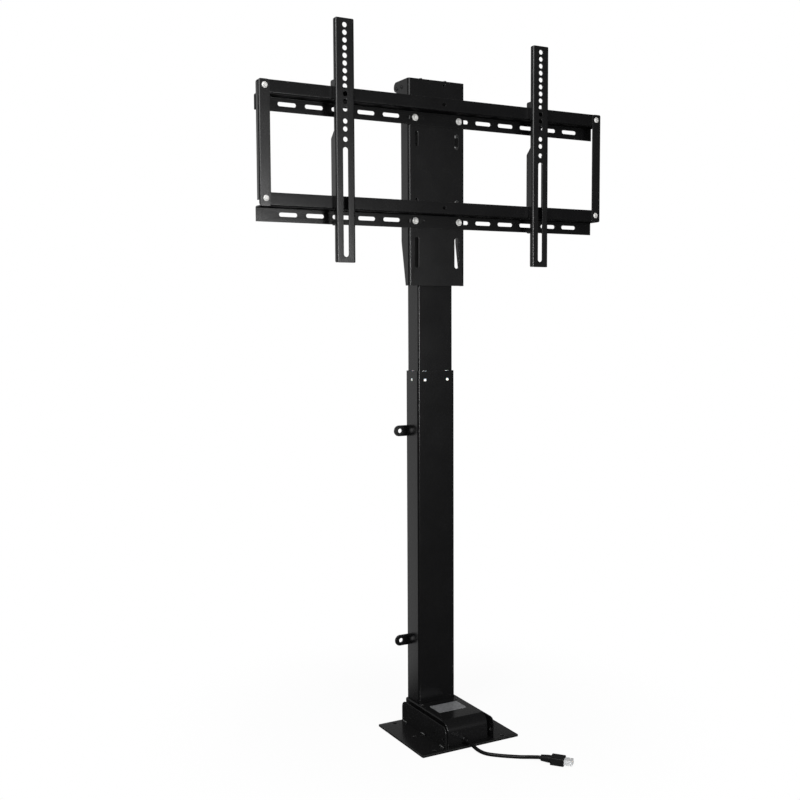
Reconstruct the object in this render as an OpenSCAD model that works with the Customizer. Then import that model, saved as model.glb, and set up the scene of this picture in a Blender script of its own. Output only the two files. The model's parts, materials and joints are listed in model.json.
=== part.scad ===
// Floor-standing motorised television lift, shown raised.
// X runs along the rails, Y to the rear, Z up. The origin is on the floor, under the lead screw.

/* [Base plate] */
// Width of the base plate
base_w = 200; // [180:1:260]
// Depth of the base plate, front to rear
base_d = 167; // [160:1:220]
// Thickness of the base plate
base_t = 4; // [3:0.5:6]
// Corner radius of the base plate
base_corner_r = 2; // [2:0.5:10]
// Overhang of the base plate behind the column
base_rear_overhang = 0.5; // [0.5:0.5:10]
// Diameter of the floor holes
floor_hole_d = 7; // [5:0.5:9]
// Distance between the left and right floor holes
floor_hole_span = 142; // [130:1:165]
// Distance from the rear edge to the rear floor holes
floor_hole_inset = 11; // [8:1:15]
// Distance from the front edge to the front floor holes
floor_hole_front_inset = 10; // [8:1:15]

/* [Housing] */
// Space between the motor cover and a cheek
cheek_gap = 6; // [3:0.5:12]
// Thickness of a cheek
cheek_t = 2; // [1.5:0.5:4]
// Height of a cheek above the base plate
cheek_h = 38; // [34:1:50]
// Distance from the plate's front edge to the cheeks
cheek_front_inset = 5; // [2:0.5:8]
// Distance from the plate's rear edge to the cheeks
cheek_rear_inset = 2; // [0.5:0.5:8]
// Radius of a cheek's upper corners
cheek_corner_r = 12; // [4:1:16]
// Diameter of the tie hole in each cheek
tie_hole_d = 6; // [3:0.5:8]
// Distance of the tie hole from the cheek's front edge
tie_hole_inset = 10; // [8:1:20]
// Height of the tie hole above the base plate
tie_hole_h = 15; // [10:1:20]
// Leg of the weld beads along the cheeks
weld_leg = 4; // [2:0.5:5]
// Length of a weld bead
weld_len = 14; // [8:1:20]
// Distance of the end beads from a cheek's ends
weld_inset = 13; // [10:1:20]
// Width of the motor cover's rear legs beside the column
cover_leg_w = 3.5; // [3:0.1:6]
// Height of the motor cover above the base plate
cover_h = 42.5; // [42:0.5:50]
// Wall of the motor cover
cover_t = 1.6; // [1:0.1:2]
// Distance from the plate's front edge to the motor cover
cover_front_inset = 13; // [9:0.5:15]
// Distance from the plate's rear edge to the motor cover
cover_rear_inset = 3; // [1:0.5:10]
// Radius between the motor cover's top and front
cover_front_r = 19; // [8:1:22]
// Gap between the column and the motor cover
cover_gap = 0.75; // [0.3:0.05:1.2]
// Width of the rating plate
label_w = 58; // [40:1:70]
// Depth of the rating plate
label_d = 36; // [20:1:44]
// Thickness of the rating plate
label_t = 0.6; // [0.3:0.1:1]
// Distance from the column's front face to the rating plate
label_inset = 22; // [18:1:24]
// Distance of the cover screws from the cover's sides
cover_screw_side = 6; // [5.5:0.1:7]
// Distance of the cover screws in front of the column
cover_screw_inset = 8.5; // [7:0.5:9]
// Diameter of the posts under the cover screws
cover_post_d = 5; // [4:0.5:5.5]

/* [Column] */
// Width of the outer tube
outer_w = 77; // [75:0.5:79]
// Depth of the outer tube
outer_d = 45; // [43:0.5:50]
// Wall of both tubes
tube_t = 1.5; // [1.5:0.1:2.5]
// Corner radius of the outer tube
tube_corner_r = 3.5; // [3:0.5:5]
// Space between the two tubes
tube_space = 1.2; // [1.2:0.1:2]
// Clearance between a guide pad and the tube that slides on it
pad_clear = 0.3; // [0.2:0.05:0.5]
// Travel of the lift
stroke = 500; // [400:1:520]
// Length of inner tube left in the outer tube when raised
tube_overlap = 109; // [104:1:140]
// Room between the gear case's screws and the inner tube when lowered
foot_room = 5.6; // [2:0.1:20]
// Gap left between the outer tube's top and the top bracket when lowered
lowered_gap = 16; // [8:1:30]
// Width of a guide pad
pad_w = 8; // [7:1:16]
// Height of a guide pad
pad_h = 50; // [30:1:50]
// Distance of the front and rear guide pads from the centre plane
pad_x = 23.5; // [20:0.5:25]
// Diameter of a guide pad's peg
pad_peg_d = 5; // [3:0.5:6]
// Distance from the tube's end to a pad's peg
pad_peg_inset = 16; // [10:1:20]
// Distance that a peg stands out of the outer tube
pad_peg_proud = 0.4; // [0.2:0.1:0.8]

/* [Wall straps] */
// Length of a wall strap
strap_l = 126; // [110:1:160]
// Height of a wall strap
strap_h = 20; // [16:1:26]
// Thickness of a wall strap
strap_t = 3; // [2:0.5:5]
// Distance of the upper wall strap's centre below the outer tube's top
strap_upper_drop = 111.5; // [80:0.5:160]
// Height of the lower wall strap's centre
strap_lower_z = 156.5; // [100:0.5:300]
// Distance between a wall strap's two holes
strap_hole_span = 102; // [92:1:136]
// Diameter of a wall strap's holes
strap_hole_d = 8; // [5:0.5:9]
// Distance between a wall strap's fixing screws
strap_screw_span = 36; // [24:1:50]

/* [Carriage] */
// Width of the carriage channel
carriage_w = 116; // [112:0.5:130]
// Height of the carriage channel
carriage_h = 364.5; // [350:0.5:420]
// Sheet thickness of the carriage
carriage_t = 2.5; // [2:0.1:3]
// Outer bend radius of the carriage
carriage_bend_r = 4; // [3.5:0.5:6]
// Gap between the outer tube's front and the carriage plate
carriage_gap = 1.5; // [1.2:0.1:4]
// Depth of the carriage's flanges
carriage_flange = 28; // [20:0.5:34]
// Depth of the flanges at their lower end
carriage_foot_flange = 13; // [8:0.2:18]
// Height of the taper at the flanges' lower end
carriage_taper = 79; // [40:1:100]
// Distance from the carriage's front to the tip of its ears
ear_reach = 54.5; // [50:0.5:60]
// Radius of an ear's end
ear_r = 9; // [8:0.5:9]
// Height of the sloped neck under an ear
ear_neck = 14; // [8:1:20]
// Distance of the carriage's slots from the centre plane
plate_slot_x = 41.5; // [40:0.5:42]
// Width of the short slots
short_slot_w = 6.5; // [4:0.5:7]
// Length of the short slots
short_slot_l = 27; // [20:1:30]
// Distance from the upper rail's bolts down to the upper short slots
short_slot_drop = 36.5; // [32:0.5:40]
// Distance from the lower rail's bolts up to the lower short slots
short_slot_lift = 26.5; // [20:0.5:40]
// Width of the long slots
long_slot_w = 8.5; // [5:0.5:9]
// Length of the long slots
long_slot_l = 55; // [40:1:58]
// Distance from the carriage's lower edge to the long slots
long_slot_inset = 31.5; // [20:0.5:34]
// Diameter of the earthing hole
earth_hole_d = 4; // [3:0.5:6]
// Distance of the earthing hole from the centre plane
earth_hole_x = 15; // [5:1:30]
// Distance of the earthing hole below the top edge
earth_hole_drop = 7.5; // [6:0.5:12]
// Sheet thickness of the top bracket
bracket_t = 3; // [2:0.5:4]
// Height of the top bracket's legs
bracket_leg = 19; // [16:1:24]
// Distance of the top screws from the centre plane
top_screw_x = 25; // [15:1:27]
// Distance of the top screws in front of the tube's centre
top_screw_y = 13; // [0:1:13]

/* [Rails] */
// Length of a rail
rail_l = 694; // [660:1:760]
// Sheet thickness of rails and end straps
rail_t = 2; // [1.5:0.1:2.5]
// Outer bend radius of rails and end straps
rail_bend_r = 3; // [2.6:0.1:4]
// Depth of a rail from its band to its flange
rail_depth = 26; // [22:0.5:32]
// Height of a rail's front band
band_h = 22.6; // [20:0.2:26]
// Drop of a rail's slotted flange
flange_drop = 23; // [20:0.5:26]
// Height of the upper rail's web below the carriage's top
rail_upper_drop = 58.5; // [50:0.5:70]
// Distance between the two rails
rail_pitch = 181; // [176:0.5:186]
// Length of a rail slot
rail_slot_l = 33; // [24:1:36]
// Width of a rail slot
rail_slot_w = 7; // [6.5:0.5:9]
// Distance between neighbouring rail slots
rail_slot_pitch = 49; // [46:1:50]
// Number of rail slots on each side
rail_slot_count = 6; // [3:1:6]
// Distance of the first rail slots from the middle of the pattern
rail_slot_first = 46.5; // [40:0.5:50]
// Shift of the slot pattern to the right of the centre plane
rail_slot_shift = 2; // [0:0.5:4]
// Distance of the slots below the rail's web
rail_slot_drop = 10.3; // [9:0.1:12]
// Diameter of the centre hole in a band
band_hole_d = 7; // [4:0.5:9]
// Height of the centre hole above the web
band_hole_h = 12; // [9:0.5:14]
// Gap between the rail bolts' nuts and the outer tube that they pass
nut_pass_gap = 1; // [0.5:0.1:2]
// Diameter of the bolts in rails and end straps
bolt_d = 6; // [5:0.5:6]
// Head diameter of the rail bolts
rail_bolt_head_d = 12; // [11:0.5:15]
// Head height of the rail bolts
rail_bolt_head_h = 4; // [3:0.5:5]
// Width of an end strap
end_strap_w = 20; // [18:0.5:24]
// Depth of an end strap's side flange
end_strap_flange = 12; // [10:0.5:20]
// Length cut from the foot of the side flange
end_strap_cut = 10; // [5:1:14]
// Corner radius of an end strap
end_strap_r = 5; // [1:0.5:6]
// Distance of the strap bolts from the outer edge
strap_bolt_inset = 11.4; // [8:0.2:12]
// Distance of the strap bolts below a band's upper edge
strap_bolt_drop = 10; // [7:0.5:11]
// Head diameter of the strap bolts
strap_bolt_head_d = 10; // [9:0.5:13]
// Head height of the strap bolts
strap_bolt_head_h = 3.5; // [3:0.5:5]

/* [Television arms] */
// Distance between the two arms
arm_span = 400; // [300:1:500]
// Width of an arm
arm_w = 35.4; // [28:0.2:38]
// Length of an arm
arm_l = 403.5; // [380:0.5:440]
// Height of the arms' tops above the upper rail's web
arm_rise = 133; // [100:0.5:150]
// Sheet thickness of an arm
arm_t = 2; // [1.5:0.1:2.5]
// Outer bend radius of an arm
arm_bend_r = 3; // [2.6:0.1:4]
// Distance from an arm's front to the bands' front
arm_stand_off = 13; // [12:0.5:16]
// Depth of an arm's flanges
arm_flange = 8; // [6:0.5:10]
// Depth of an arm's flanges at the hooks
arm_hook_depth = 20; // [18:0.5:26]
// Height of the hooks above the bands
arm_hook_rise = 10; // [3:0.5:14]
// Corner radius of the hooks
arm_hook_r = 3; // [1:0.5:4]
// Clearance between an arm and the rails
arm_clear = 0.3; // [0.2:0.05:0.5]
// Height of the arms' deep flange above the lower rail's web
arm_spine_h = 130; // [100:1:146]
// Height of the chamfer at the deep flange's upper end
arm_spine_chamfer = 12; // [5:1:14]
// Distance that the arms' lower toe reaches below the lower rail's web
arm_toe = 27; // [22:1:40]
// Corner radius of the toe
arm_toe_r = 6; // [2:1:9]
// Height of the toe below its notch
arm_toe_h = 8; // [6:0.5:14]
// Diameter of the arms' holes
arm_hole_d = 8.5; // [7:0.5:9.5]
// Distance between neighbouring arm holes
arm_hole_pitch = 12.5; // [12.5:0.1:12.8]
// Number of holes in an arm's even row
arm_hole_count = 12; // [9:1:12]
// Distance from the arm's top to its first hole
arm_hole_first = 11; // [8:0.5:12]
// Distance from the row to the pair of holes below it
arm_pair_gap = 20; // [15:0.5:22]
// Distance between the pair's holes
arm_pair_pitch = 13; // [11:0.5:14]
// Distance from the pair to the single hole below it
arm_single_gap = 17; // [14:0.5:19]
// Width of the arm's long slot
arm_slot_w = 9.5; // [7:0.5:10]
// Distance between the single hole and the arm's long slot
arm_slot_bridge = 8.5; // [6:0.5:12]
// Distance from the arm's lower end to the slot
arm_slot_inset = 9.5; // [8:0.5:20]
// Corner radius of an arm's ends
arm_corner_r = 3; // [1:0.5:5]

/* [Drive] */
// Diameter of the lead screw
screw_d = 16; // [14:0.5:20]
// Distance between the thread's turns
thread_pitch = 10; // [6:1:12]
// Depth of the thread
thread_depth = 1; // [0.5:0.1:1.5]
// Length of screw left above the nut when raised
screw_reserve = 30; // [24:1:40]
// Diameter of the lead screw's journal
journal_d = 10; // [8:0.5:10]
// Running clearance of shafts in their bearings
run_clear = 0.05; // [0.02:0.01:0.1]
// Outer diameter of the drive nut
nut_d = 26; // [24:0.5:27]
// Diameter of the drive nut's flange
nut_flange_d = 30; // [28.5:0.5:31]
// Thickness of the drive nut's flange
nut_flange_t = 4; // [3:0.5:6]
// Height of the nut block
nut_block_h = 30; // [24:1:36]
// Fit of inserts in the inner tube
insert_fit = 0.1; // [0.05:0.05:0.2]
// Diameter of the nut block's cross pins
cross_pin_d = 5; // [4:0.5:6]
// Diameter of the screw's end stop
stop_d = 24; // [20:0.5:28]
// Height of the screw's end stop
stop_h = 8; // [5:1:12]
// Distance between the worm's axis and the screw's axis
worm_x = 17.5; // [17.5:0.1:18]
// Height of the worm's axis above the base plate
worm_h = 21; // [20.5:0.5:22]
// Outer radius of the worm
worm_r = 4.7; // [4:0.1:4.8]
// Diameter of the worm's shaft
worm_shaft_d = 6; // [5:0.5:6]
// Number of teeth on the worm wheel
wheel_teeth = 20; // [16:1:24]
// Thickness of the worm wheel
wheel_t = 12; // [8:1:13]
// Gap between the worm and the wheel's teeth
mesh_gap = 0.3; // [0.2:0.05:0.4]
// Height of the gear case above the base plate
case_h = 34; // [33:0.5:35]
// Thickness of the gear case's lid
lid_t = 8; // [7:0.5:9]
// Outer diameter of the lower screw bearing
lower_bearing_d = 24; // [20:0.5:26]
// Outer diameter of the upper screw bearing
upper_bearing_d = 26; // [22:0.5:28]
// Outer diameter of the worm's bearings
worm_bearing_d = 13; // [11:0.5:14]
// Diameter of the motor
motor_d = 36; // [32:0.5:36]
// Length of the motor can
motor_l = 62; // [50:1:64]
// Wall of the motor can
motor_wall = 1.5; // [1:0.1:2]
// Thickness of the motor's end cap
end_cap_t = 8; // [7:0.5:9]

/* [Cable] */
// Diameter of the motor cable
cable_d = 6.4; // [5:0.2:7]
// Length of the strain relief in front of the cover
relief_l = 12; // [10:1:16]
// Diameter of the strain relief's collar
relief_d = 12; // [11:0.5:13]
// Length of the plug's boot
boot_l = 18; // [10:1:25]
// Diameter of the plug's boot at the cable
boot_neck_d = 10.5; // [8:0.5:11]
// Diameter of the plug's boot at its wide end
boot_d = 13; // [11:0.5:14]
// Length of the plug's body
plug_l = 23; // [20:1:35]
// Width of the plug's body
plug_w = 22; // [15:0.5:24]
// Height of the plug's body
plug_h = 14; // [14:0.5:16]
// Length of the plug's nose
nose_l = 14; // [8:1:20]
// Width of the plug's nose
nose_w = 15; // [8:0.5:17]
// Height of the plug's nose
nose_h = 9; // [4:0.5:10]

/* [Hidden] */
$fn = 48;
eps = 0.01;

// Small screws, shared by the cover, the wall straps and the gear case
small_screw_d = 3;
small_head_d = 7;
small_head_h = 2.4;
hole_clear = 0.2;

// Base and housing
base_rear = outer_d / 2 + base_rear_overhang;
base_front = base_rear - base_d;
floor_hole_pitch = (base_d - floor_hole_inset - floor_hole_front_inset) / 2;
floor_hole_y = [for (k = [0:2]) base_rear - floor_hole_inset - k * floor_hole_pitch];
cover_w = outer_w + 2 * (cover_gap + cover_leg_w);
cover_screw_x = cover_w / 2 - cover_screw_side;
cheek_span = cover_w + 2 * (cheek_gap + cheek_t);
cheek_front = base_front + cheek_front_inset;
cheek_rear = base_rear - cheek_rear_inset;
cheek_x = cheek_span / 2;
weld_y = [cheek_rear - weld_inset, (cheek_rear + cheek_front) / 2, cheek_front + weld_inset];
column_weld_leg = 2.2;
column_weld_l = 26;
cover_front = base_front + cover_front_inset;
cover_rear = base_rear - cover_rear_inset;
cover_top = base_t + cover_h;
column_front = -outer_d / 2;
label_y = column_front - label_inset - label_d / 2;
cover_screw_y = column_front - cover_screw_inset;
cover_screw_l = 10;
label_corner_r = 2;

// Tubes and guide pads
worm_z = base_t + worm_h;
case_top = base_t + case_h;
lid_top = case_top + lid_t;
lowered_bottom = lid_top + small_head_h + foot_room;
inner_bottom = lowered_bottom + stroke;
outer_top = inner_bottom + tube_overlap;
inner_top = outer_top + stroke + lowered_gap;
strap_upper_z = outer_top - strap_upper_drop;
corner_step = 0.9;
inner_w = outer_w - 2 * (tube_t + tube_space);
inner_d = outer_d - 2 * (tube_t + tube_space);
inner_corner_r = tube_corner_r - corner_step;
bore_w = inner_w - 2 * tube_t;
bore_d = inner_d - 2 * tube_t;
bore_corner_r = inner_corner_r - tube_t;
insert_corner_r = bore_corner_r + 1;
pad_t = tube_space - pad_clear;
pad_lip = 0.5;
shoe_lift = 2;

// Carriage
carriage_top = inner_top + bracket_t;
carriage_bottom = carriage_top - carriage_h;
carriage_back = column_front - carriage_gap;
carriage_front = carriage_back - carriage_t;
carriage_inner_x = carriage_w / 2 - carriage_t;
ear_y = carriage_front + ear_reach - ear_r;
bracket_front = carriage_back + carriage_bend_r - carriage_t;
bracket_overhang = 4;
bracket_rear = inner_d / 2 + bracket_overhang;
plug_depth = 20;
ear_screw_d = 5;
ear_screw_head_d = 9;
ear_screw_head_h = 2.6;
ear_screw_inset = 6;
ear_screw_y = [0, bracket_rear - ear_screw_inset];
ear_screw_z = inner_top - bracket_leg / 2;
top_screw_d = 6;
top_screw_l = 14;
top_screw_head_d = 10;
top_screw_head_h = 5;

// Rails and end straps
upper_web = carriage_top - rail_upper_drop;
lower_web = upper_web - rail_pitch;
rail_webs = [upper_web, lower_web];
flange_back = carriage_front;
band_front = flange_back - rail_depth;
nut_af = bolt_d * 5 / 3;
nut_h = bolt_d * 0.8;
nut_clear = 0.1;
nut_r = nut_af / cos(30) / 2;
bolt_proud = 1;
rail_bolt_x = outer_w / 2 + nut_pass_gap + nut_r;
strap_end_gap = rail_bend_r - rail_t;
strap_outer_x = rail_l / 2 + strap_end_gap + rail_t;
strap_bolt_x = strap_outer_x - strap_bolt_inset;
strap_front = band_front - rail_t;
strap_top = upper_web + band_h;
strap_bottom = lower_web;
strap_bolt_z = [for (w = rail_webs) w + band_h - strap_bolt_drop];

// Arms
arm_front = band_front - arm_stand_off;
arm_top = upper_web + arm_rise;
arm_bottom = arm_top - arm_l;
arm_shallow_y = arm_front + arm_flange;
arm_deep_y = arm_front + arm_hook_depth;
arm_row_z = [for (k = [0:arm_hole_count - 1]) arm_top - arm_hole_first - k * arm_hole_pitch];
arm_pair_z = arm_row_z[arm_hole_count - 1] - arm_pair_gap;
arm_single_z = arm_pair_z - arm_pair_pitch - arm_single_gap;
arm_hole_z = concat(arm_row_z, [arm_pair_z, arm_pair_z - arm_pair_pitch, arm_single_z]);
arm_slot_top = arm_single_z - arm_hole_d / 2 - arm_slot_bridge;
arm_slot_l = arm_slot_top - arm_bottom - arm_slot_inset;

// Drive
case_gap = 1;
case_half_d = outer_d / 2 - tube_t - case_gap;
snout_half = 13;
case_left = -24;
case_right = worm_x + snout_half;
motor_flange_t = 3;
snout_reach = 14.5;
motor_front = column_front - snout_reach;
case_floor = 2;
lower_bearing_h = 8;
lid_lip = 1;
upper_bearing_h = lid_t - lid_lip;
bearing_shoulder = 4;
bearing_clear_r = journal_d / 2 + bearing_shoulder;
wheel_r = worm_x - worm_r - mesh_gap;
wheel_room = 1.5;
tunnel_wall = 4.5;
tunnel_end = case_half_d - tunnel_wall;
worm_turns = 5;
worm_bearing_t = 5;
worm_bearing_y = [tunnel_end - worm_bearing_t, motor_front + 1];
worm_end_gap = 0.5;
worm_l = 2 * (worm_bearing_y[0] - worm_end_gap);
thread_bottom = lid_top + 1;
cross_pin_z = inner_bottom + nut_flange_t + nut_block_h / 2;
screw_top = inner_bottom + nut_flange_t + nut_block_h + screw_reserve;
lid_screw_inset = 5;
lid_screw_d = 4;
lid_screw_l = 15;
window_clear = 0.5;
motor_rear = motor_front - motor_l;
end_cap_rear = motor_rear - end_cap_t;
end_cap_floor = 2;
shaft_end_play = 0.5;
shaft_pass = 2;
magnet_t = 3.2;
magnet_gap = 0.8;
magnet_end_room = 11;
magnet_l = motor_l - 2 * magnet_end_room;
armature_r = motor_d / 2 - motor_wall - magnet_t - magnet_gap;
armature_setback = 2;
armature_l = magnet_l - 2 * armature_setback;
motor_bolt_d = 3;
motor_bolt_head_d = 5.5;
motor_bolt_head_h = 2;
motor_bolt_r = motor_d / 2 - motor_wall - motor_bolt_d / 2 - hole_clear;
motor_mid = (motor_front + motor_rear) / 2;
lead_d = 4;
lead_side = 8.5;
lead_drop = 10;

// Cable. Each route point holds the way to the right of the strain relief, the way in front of its tip
// and the height of the cable's underside above the floor.
relief_x = -6.5;
relief_lift = 7.3;
relief_z = relief_lift + cable_d / 2;
relief_tip = cover_front - relief_l;
relief_tip_d = cable_d + 1.6;
relief_lip = 2;
relief_neck_d = relief_d - 2 * relief_lip;
relief_sleeve_d = relief_neck_d + 1.2;
relief_collar_t = 1.4;
plug_rise = (plug_h - cable_d) / 2;
cable_points = [
    [0, 0, relief_lift], [0, 4.5, relief_lift], [0, 9, 6.9], [0.1, 14, 5.9], [0.6, 20, 4.3],
    [1.6, 26, 2.8], [3.4, 32, 1.5], [6.2, 39, 0.5], [9.9, 45.3, 0.1], [14.7, 51.4, 0],
    [20.1, 57, 0], [26.1, 62.7, 0], [32.5, 68.3, 0], [39.3, 73.7, 0], [46.1, 79, 0],
    [52.7, 84.5, 0.05 * plug_rise], [59.1, 90.4, 0.25 * plug_rise], [65.3, 97, 0.55 * plug_rise],
    [71.1, 103.8, 0.85 * plug_rise], [74.5, 107.7, plug_rise], [77, 110.7, plug_rise]
];
cable_route = [for (p = cable_points) [relief_x + p[0], relief_tip - p[1], p[2] + cable_d / 2]];
plug_start = cable_route[len(cable_route) - 1];
plug_heading = plug_start - cable_route[len(cable_route) - 2];
plug_angle = atan2(plug_heading[1], plug_heading[0]);

// The motor's lead eases across from the end cap to the strain relief.
lead_start = [worm_x - lead_side, end_cap_rear, worm_z - lead_drop];
lead_end = [relief_x, cover_front + cover_t + relief_collar_t, relief_z];
lead_steps = 9;
lead_stub = 0.12;
function ease(s) =
    let (c = min(max((s - lead_stub) / (1 - 2 * lead_stub), 0), 1))
    c * c * (3 - 2 * c);
lead_route = [for (k = [0:lead_steps])
    let (s = k / lead_steps, across = ease(s), on = lead_end - lead_start)
    lead_start + [on[0] * across, on[1] * s, on[2] * across]];
plug_corner_r = 3;
nose_corner_r = 1;
cable_sides = 12;
lead_sides = 8;

// A profile in Y and Z, extruded along X from x0
module along_x(x0, l) {
    translate([x0, 0, 0]) rotate([90, 0, 90]) linear_extrude(l) children();
}

// A profile in X and Z, extruded along Y from y0 to the rear
module along_y(y0, l) {
    translate([0, y0 + l, 0]) rotate([90, 0, 0]) linear_extrude(l) children();
}

// A round rod along X, Y or Z through a centre point at its start
module rod_x(p, d, l) {
    translate(p) rotate([0, 90, 0]) cylinder(d = d, h = l);
}
module rod_y(p, d, l) {
    translate(p + [0, l, 0]) rotate([90, 0, 0]) cylinder(d = d, h = l);
}
module rod_z(p, d, l) {
    translate(p) cylinder(d = d, h = l);
}

// A rectangle with round corners, about its centre
module round_rect(w, h, r) {
    square([w - 2 * r, h], center = true);
    square([w, h - 2 * r], center = true);
    for (sx = [-1, 1], sy = [-1, 1])
        translate([sx * (w / 2 - r), sy * (h / 2 - r)]) circle(r);
}

// A slot with round ends, upright or lying, about its centre
module slot(l, w, upright) {
    rotate(upright ? 90 : 0) {
        square([l - w, w], center = true);
        for (s = [-1, 1]) translate([s * (l - w) / 2, 0]) circle(d = w);
    }
}

// A block with two round front corners, its front edge on the X axis
module front_rounded(w, d, r) {
    translate([-w / 2, r]) square([w, d - r]);
    translate([r - w / 2, 0]) square([w - 2 * r, d]);
    for (s = [-1, 1]) translate([s * (w / 2 - r), r]) circle(r);
}

// The plan of a bent channel that opens to the rear
module channel_plan(w, d, t, r) {
    difference() {
        front_rounded(w, d, r);
        translate([0, t]) front_rounded(w - 2 * t, d, r - t);
    }
}

// A quarter of a bend, counter-clockwise from angle a
module quarter_bend(r, t, a) {
    intersection() {
        difference() {
            circle(r);
            circle(r - t);
        }
        rotate(a) square(r);
    }
}

// A pan head and its shank, the head on the +Z side of the seat
module pan_screw(head_d, head_h, d, l) {
    rotate_extrude()
        polygon([[0, -l], [d / 2, -l], [d / 2, 0], [head_d / 2, 0], [head_d / 2, head_h * 0.45],
                 [head_d * 0.36, head_h], [0, head_h]]);
}

// A hexagon nut on the +Z side of its seat
module hex_nut(h, bore) {
    difference() {
        cylinder(r = nut_r, h = h, $fn = 6);
        translate([0, 0, -eps]) cylinder(d = bore, h = h + 2 * eps);
    }
}

// A tube swept along a route, one ring per point
function unit(v) = v / norm(v);
function heading(route, k) =
    unit(route[min(k + 1, len(route) - 1)] - route[max(k - 1, 0)]);
function ring(p, dir, r, sides) =
    let (side = unit(cross(dir, [0, 0, 1])), up = cross(side, dir))
    [for (s = [0:sides - 1]) p + r * (cos(360 * s / sides) * side + sin(360 * s / sides) * up)];
module swept_tube(route, d, sides) {
    n = len(route);
    rings = [for (k = [0:n - 1]) each ring(route[k], heading(route, k), d / 2, sides)];
    walls = [for (k = [0:n - 2], s = [0:sides - 1])
        let (a = k * sides + s, b = k * sides + (s + 1) % sides)
        each [[a, a + sides, b], [b, a + sides, b + sides]]];
    caps = [[for (s = [0:sides - 1]) s], [for (s = [0:sides - 1]) n * sides - 1 - s]];
    polyhedron(rings, concat(walls, caps), convexity = 6);
}

module base_plate() {
    color("#1d1e20") difference() {
        translate([0, (base_front + base_rear) / 2, 0])
            linear_extrude(base_t) round_rect(base_w, base_d, base_corner_r);
        for (s = [-1, 1], y = floor_hole_y)
            rod_z([s * floor_hole_span / 2, y, -eps], floor_hole_d, base_t + 2 * eps);
    }
}

module cheek(side) {
    l = cheek_rear - cheek_front;
    r = cheek_corner_r;
    color("#1b1c1e") difference() {
        along_x(side > 0 ? cheek_x - cheek_t : -cheek_x, cheek_t) {
            translate([cheek_front, base_t]) square([l, cheek_h - r]);
            translate([cheek_front + r, base_t]) square([l - 2 * r, cheek_h]);
            for (y = [cheek_front + r, cheek_rear - r])
                translate([y, base_t + cheek_h - r]) circle(r);
        }
        rod_x([-cheek_x - eps, cheek_front + tie_hole_inset, base_t + tie_hole_h], tie_hole_d,
              cheek_span + 2 * eps);
    }
}
module left_cheek() { cheek(-1); }
module right_cheek() { cheek(1); }

// A fillet bead along Y in the corner between a wall at x and the base plate
module weld_bead(x, side, y, leg, l) {
    along_y(y - l / 2, l)
        polygon([[x, base_t], [x + side * leg, base_t], [x, base_t + leg]]);
}

module base_welds() {
    color("#242527") {
        for (s = [-1, 1], y = weld_y) weld_bead(s * cheek_x, s, y, weld_leg, weld_len);
        for (s = [-1, 1]) weld_bead(s * outer_w / 2, s, 0, column_weld_leg, column_weld_l);
    }
}

// The side view of the motor cover, drawn in by t all round but at its foot and rear
module cover_side(t) {
    r = cover_front_r - t;
    front = cover_front + t;
    top = cover_top - t;
    translate([front, base_t]) square([cover_rear - front, top - r - base_t]);
    translate([front + r, base_t]) square([cover_rear - front - r, top - base_t]);
    translate([front + r, top - r]) circle(r);
}

module motor_cover() {
    notch_w = outer_w + 2 * cover_gap;
    notch_front = column_front - cover_gap;
    color("#17181a") difference() {
        along_x(-cover_w / 2, cover_w) cover_side(0);
        translate([0, 0, -eps]) along_x(cover_t - cover_w / 2, cover_w - 2 * cover_t) union() {
            cover_side(cover_t);
            translate([0, base_t]) square([cover_rear + eps, cover_h - cover_t]);
        }
        translate([-notch_w / 2, notch_front, base_t])
            cube([notch_w, cover_rear - notch_front + eps, cover_h + eps]);
        for (s = [-1, 1])
            rod_z([s * cover_screw_x, cover_screw_y, cover_top - cover_t - eps],
                  small_screw_d + 2 * hole_clear, cover_t + 2 * eps);
        rod_y([relief_x, cover_front - eps, relief_z], relief_neck_d + 2 * hole_clear, cover_t + 2 * eps);
    }
}

module cover_posts() {
    h = cover_h - cover_t;
    color("#b9bcc0") for (s = [-1, 1]) translate([s * cover_screw_x, cover_screw_y, base_t])
        difference() {
            cylinder(d = cover_post_d, h = h);
            translate([0, 0, h - cover_screw_l])
                cylinder(d = small_screw_d + hole_clear, h = cover_screw_l + eps);
        }
}

module cover_screws() {
    color("#26272a") for (s = [-1, 1]) translate([s * cover_screw_x, cover_screw_y, cover_top])
        pan_screw(small_head_d, small_head_h, small_screw_d, cover_screw_l);
}

module rating_plate() {
    color("#c9cbcd") translate([0, label_y, cover_top]) linear_extrude(label_t)
        round_rect(label_w, label_d, label_corner_r);
}

module tube_plan(w, d, t, r) {
    difference() {
        round_rect(w, d, r);
        round_rect(w - 2 * t, d - 2 * t, r - t);
    }
}

// Six pegs or pads round a tube: two in front, two behind and one at each side.
// Each is drawn at the origin with its outward direction along -Y and moved out to the tube's face.
module round_tube(w, d) {
    for (s = [-1, 1], k = [0, 1])
        translate([s * pad_x, 0, 0]) rotate(k * 180) translate([0, -d / 2, 0]) children();
    for (k = [1, 3]) rotate(k * 90) translate([0, -w / 2, 0]) children();
}

module outer_column() {
    color("#1e1f21") difference() {
        translate([0, 0, base_t]) linear_extrude(outer_top - base_t)
            tube_plan(outer_w, outer_d, tube_t, tube_corner_r);
        translate([worm_x - snout_half - window_clear, column_front - eps, base_t - eps])
            cube([2 * (snout_half + window_clear), tube_t + 2 * eps, case_h + window_clear]);
        translate([0, 0, outer_top - pad_peg_inset]) round_tube(outer_w, outer_d)
            rod_y([0, -eps, 0], pad_peg_d + hole_clear, tube_t + 2 * eps);
        for (z = [strap_lower_z, strap_upper_z], s = [-1, 1])
            rod_y([s * strap_screw_span / 2, outer_d / 2 - tube_t - eps, z], small_screw_d + 2 * hole_clear,
                  tube_t + 2 * eps);
    }
}

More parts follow.
